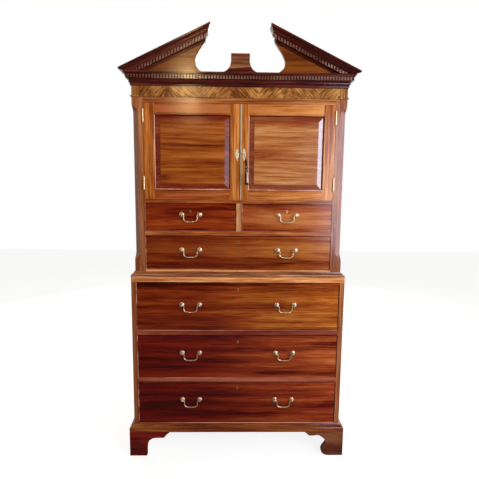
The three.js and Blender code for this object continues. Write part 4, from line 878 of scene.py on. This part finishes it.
dress(HINGES, brass, soft=0)
for name in HINGES:
    low, high = (corner / MM for corner in map(Vector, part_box(name)))
    step = (high.z - low.z) / KNUCKLES
    profile = list(TIP_PROFILE)
    for k in range(KNUCKLES):
        foot, head = k * step, (k + 1) * step
        profile += [(KNUCKLE_GROOVE, foot), (KNUCKLE_RADIUS, foot + KNUCKLE_CHAMFER),
                    (KNUCKLE_RADIUS, head - KNUCKLE_CHAMFER), (KNUCKLE_GROOVE, head)]
    profile += [(r, high.z - low.z - z) for r, z in reversed(TIP_PROFILE)]
    axis = Vector((math.copysign(HINGE_AXIS[0], low.x), HINGE_AXIS[1], low.z))
    verts, faces = turned(profile, HINGE_SIDES)
    piece(name.replace("hinge", "knuckles"), [axis + Vector(v) for v in verts], faces, brass,
          "carcase", smooth=False)

dress(["escutcheon_left", "escutcheon_right", "key"], surface(
    "rubbed_brass", worn_plate, Metallic=1), soft=0.4)
# The lock is browned with age and nearly black. Its bolt is bright where it rubs in the lock.
for name, iron, dark, pale in (("door_lock", "browned_iron", "#2c2622", "#544a42"),
                               ("lock_bolt", "bright_iron", "#6e6c68", "#b4b0a8")):
    dress([name], surface(iron, filed_iron(dark, pale), Metallic=1), soft=0.3)


# Crown
# A frieze of flame veneer in slanted leaves, mirrored at each joint, under a dentilled cornice of
# dark red wood. The same moulding rakes up both sides of a board with two scroll cuts, and a
# moulded plinth stands in the break. All are glued and blocked to the upper case.
LEAF_WIDTH = 150
LEAF_SLANT, LEAF_RISE, LEAF_SHIFT = 0.9, 0.25, 0.03
FLAME_STREAK = 9
SWIRL_WIDTH, SWIRL_ACROSS, SWIRL_UP = 55.556, 26, 12
PATCH_WIDTH, PATCH_WEIGHT = 71.429, 0.7
FLAME_SHADES = ("#5a2e10", "#8c5626", "#be884a")
FRIEZE_BLOCK = 503
BLOCK_JOINT_SHADE = "#3a1a0a"


def flame_veneer(tree):
    """Crotch-cut leaves: pale flames that lean and curl away from each joint, on brown. Plain
    blocks close them at the corners."""
    place = node(tree, "TexCoord").outputs["Object"]
    x, y, z = node(tree, "SeparateXYZ", {0: place}).outputs[:3]
    along = node(tree, "Math", {0: x, 1: y}, operation="ADD").outputs[0]
    fold = node(tree, "Math", {0: along, 1: LEAF_WIDTH * MM}, operation="PINGPONG").outputs[0]
    lean = node(tree, "Math", {0: z, 1: LEAF_SLANT, 2: fold}, operation="MULTIPLY_ADD").outputs[0]
    rise = node(tree, "Math", {0: z, 1: LEAF_RISE}, operation="MULTIPLY").outputs[0]
    leaf = node(tree, "Math", {0: along, 1: LEAF_SHIFT}, operation="MULTIPLY").outputs[0]
    flat = node(tree, "CombineXYZ", {0: lean, 1: rise, 2: leaf}).outputs[0]
    swirl = node(tree, "TexNoise", {
        "Vector": place, "Scale": 1 / (SWIRL_WIDTH * MM), "Detail": 2})
    curved = node(tree, "VectorMath", {
        0: swirl.outputs["Color"], 1: (SWIRL_ACROSS * MM, SWIRL_UP * MM, 0), 2: flat},
                  operation="MULTIPLY_ADD")
    streak = node(tree, "TexNoise", {
        "Vector": curved.outputs[0], "Scale": 1 / (FLAME_STREAK * MM), "Detail": 3})
    patch = node(tree, "TexNoise", {
        "Vector": place, "Scale": 1 / (PATCH_WIDTH * MM), "Detail": 2})
    tone = node(tree, "Math", {0: patch.outputs[0], 1: PATCH_WEIGHT, 2: streak.outputs[0]},
                operation="MULTIPLY_ADD")
    spread = node(tree, "MapRange", {
        "Value": tone.outputs[0], "From Min": 0.6, "From Max": 1.1})
    dark, plain, light = (colour(shade) for shade in FLAME_SHADES)
    shade = node(tree, "ValToRGB", {"Fac": spread.outputs[0]},
                 stops=[(0.1, dark), (0.5, plain), (0.9, light)])
    block, block_pore = board(tree, "Z", 24.2, FLAME_SHADES, streak=16)
    out = node(tree, "Math", {0: x}, operation="ABSOLUTE").outputs[0]
    corner = node(tree, "Math", {0: out, 1: FRIEZE_BLOCK * MM}, operation="GREATER_THAN").outputs[0]
    joint = node(tree, "Math", {0: out, 1: FRIEZE_BLOCK * MM, 2: JOINT_WIDTH * MM},
                 operation="COMPARE").outputs[0]
    both = node(tree, "Mix", {0: corner, 6: shade.outputs[0], 7: block}, data_type="RGBA")
    lined = node(tree, "Mix", {0: joint, 6: both.outputs[2], 7: colour(BLOCK_JOINT_SHADE)},
                 data_type="RGBA")
    return lined.outputs[2], block_pore


CORNICE_SHADES = ("#290705", "#48160f", "#6e3224")
PEDIMENT_SLOPE = math.radians(25.64)
CASE_HALF, CASE_FRONT = 540, -246
TOOTH_PROUD, BED_PROUD = 23, 14
PLANE_SLACK = 0.1
PLINTH_RED, PLINTH_CAP = 2036, 2091

dress(["frieze"], french_polish("flame_veneer", flame_veneer, shine=0.15))
mitred(["cornice_moulding"], "mahogany_cornice", 25.6, CORNICE_SHADES, soft=0.5)
for name, slope in (("raking_cornice_left", PEDIMENT_SLOPE),
                    ("raking_cornice_right", -PEDIMENT_SLOPE)):
    dress([name], mahogany("mahogany_" + name, "X", 25.6, CORNICE_SHADES, slope=slope), soft=0.5)

# The teeth are painted paler as a highlight, and the bed between them nearly black as painted
# shade.
painted_highlight_teeth = mahogany("mahogany_dentils", "X", 27.1, ("#4a281a", "#70483a", "#987260"))
painted_shade_bed = mahogany("mahogany_dentil_bed", "X", 28.4, ("#1c0806", "#301008", "#4a2014"))
for name in ("cornice_moulding", "raking_cornice_left", "raking_cornice_right"):
    for wood, proud in ((painted_highlight_teeth, TOOTH_PROUD), (painted_shade_bed, BED_PROUD)):
        refinish(name, wood, lambda at: (
            abs(at.y - CASE_FRONT + proud) < PLANE_SLACK
            or abs(abs(at.x) - CASE_HALF - proud) < PLANE_SLACK))

# The plinth's foot and cap are as dark as the cornice, and its neck and the board are browner.
dress(["pediment_plinth"], mahogany(
    "mahogany_plinth", "X", 29.3, ("#451c0e", "#6e3e24", "#96623e"), streak=12), soft=0.5)
refinish("pediment_plinth", mahogany("mahogany_plinth_bands", "X", 25.9, CORNICE_SHADES),
         lambda at: at.z < PLINTH_RED or at.z > PLINTH_CAP)
dress(["pediment_board"], mahogany(
    "mahogany_pediment", "X", 26.3, ("#421903", "#642d09", "#824512"), streak=30))


# Back boards and trays
# Oak planks nailed up the back of both cases, and two sliding trays behind the doors. The
# gaps between the planks are drawn 3 mm wide to show.
PLANK_WIDTH = 180
PLANK_GAP = 3
PLANK_SHADES = ("#6a4028", "#94623c", "#b48456")
PLANK_TONES = (0.75, 1.1)
PLANK_GAP_SHADE = "#1e150c"


def oak_planks(tree):
    """Rough-sawn oak, dull brown, each plank a little lighter or darker than the next, with a
    dark gap between them."""
    shade, pore = board(tree, "Z", 31.7, PLANK_SHADES, streak=24, contrast=0.8)
    x = node(tree, "SeparateXYZ", {0: node(tree, "TexCoord").outputs["Object"]}).outputs[0]
    off = node(tree, "Math", {0: x, 1: PLANK_WIDTH / 2 * MM}, operation="PINGPONG").outputs[0]
    gap = node(tree, "Math", {0: off, 1: PLANK_GAP / 2 * MM}, operation="LESS_THAN").outputs[0]
    number = node(tree, "Math", {0: x, 1: PLANK_WIDTH * MM}, operation="DIVIDE").outputs[0]
    whole = node(tree, "Math", {0: number}, operation="FLOOR").outputs[0]
    own = node(tree, "TexWhiteNoise", {"W": whole}, noise_dimensions="1D").outputs[0]
    level = node(tree, "MapRange", {
        "Value": own, "To Min": PLANK_TONES[0], "To Max": PLANK_TONES[1]}).outputs[0]
    varied = node(tree, "VectorMath", {0: shade, "Scale": level}, operation="SCALE").outputs[0]
    lined = node(tree, "Mix", {0: gap, 6: varied, 7: colour(PLANK_GAP_SHADE)}, data_type="RGBA")
    return lined.outputs[2], pore


dress(["upper_back", "lower_back"], surface(
    "oak_planks", polished(oak_planks), Specular_IOR_Level=0.1), soft=0)
dress(["lower_bottom", "tray_lower", "tray_upper"], oak, soft=0.5)
for name in ("tray_lower", "tray_upper"):
    refinish_sides(name, -math.inf)


bpy.context.scene.view_settings.view_transform = "Standard"
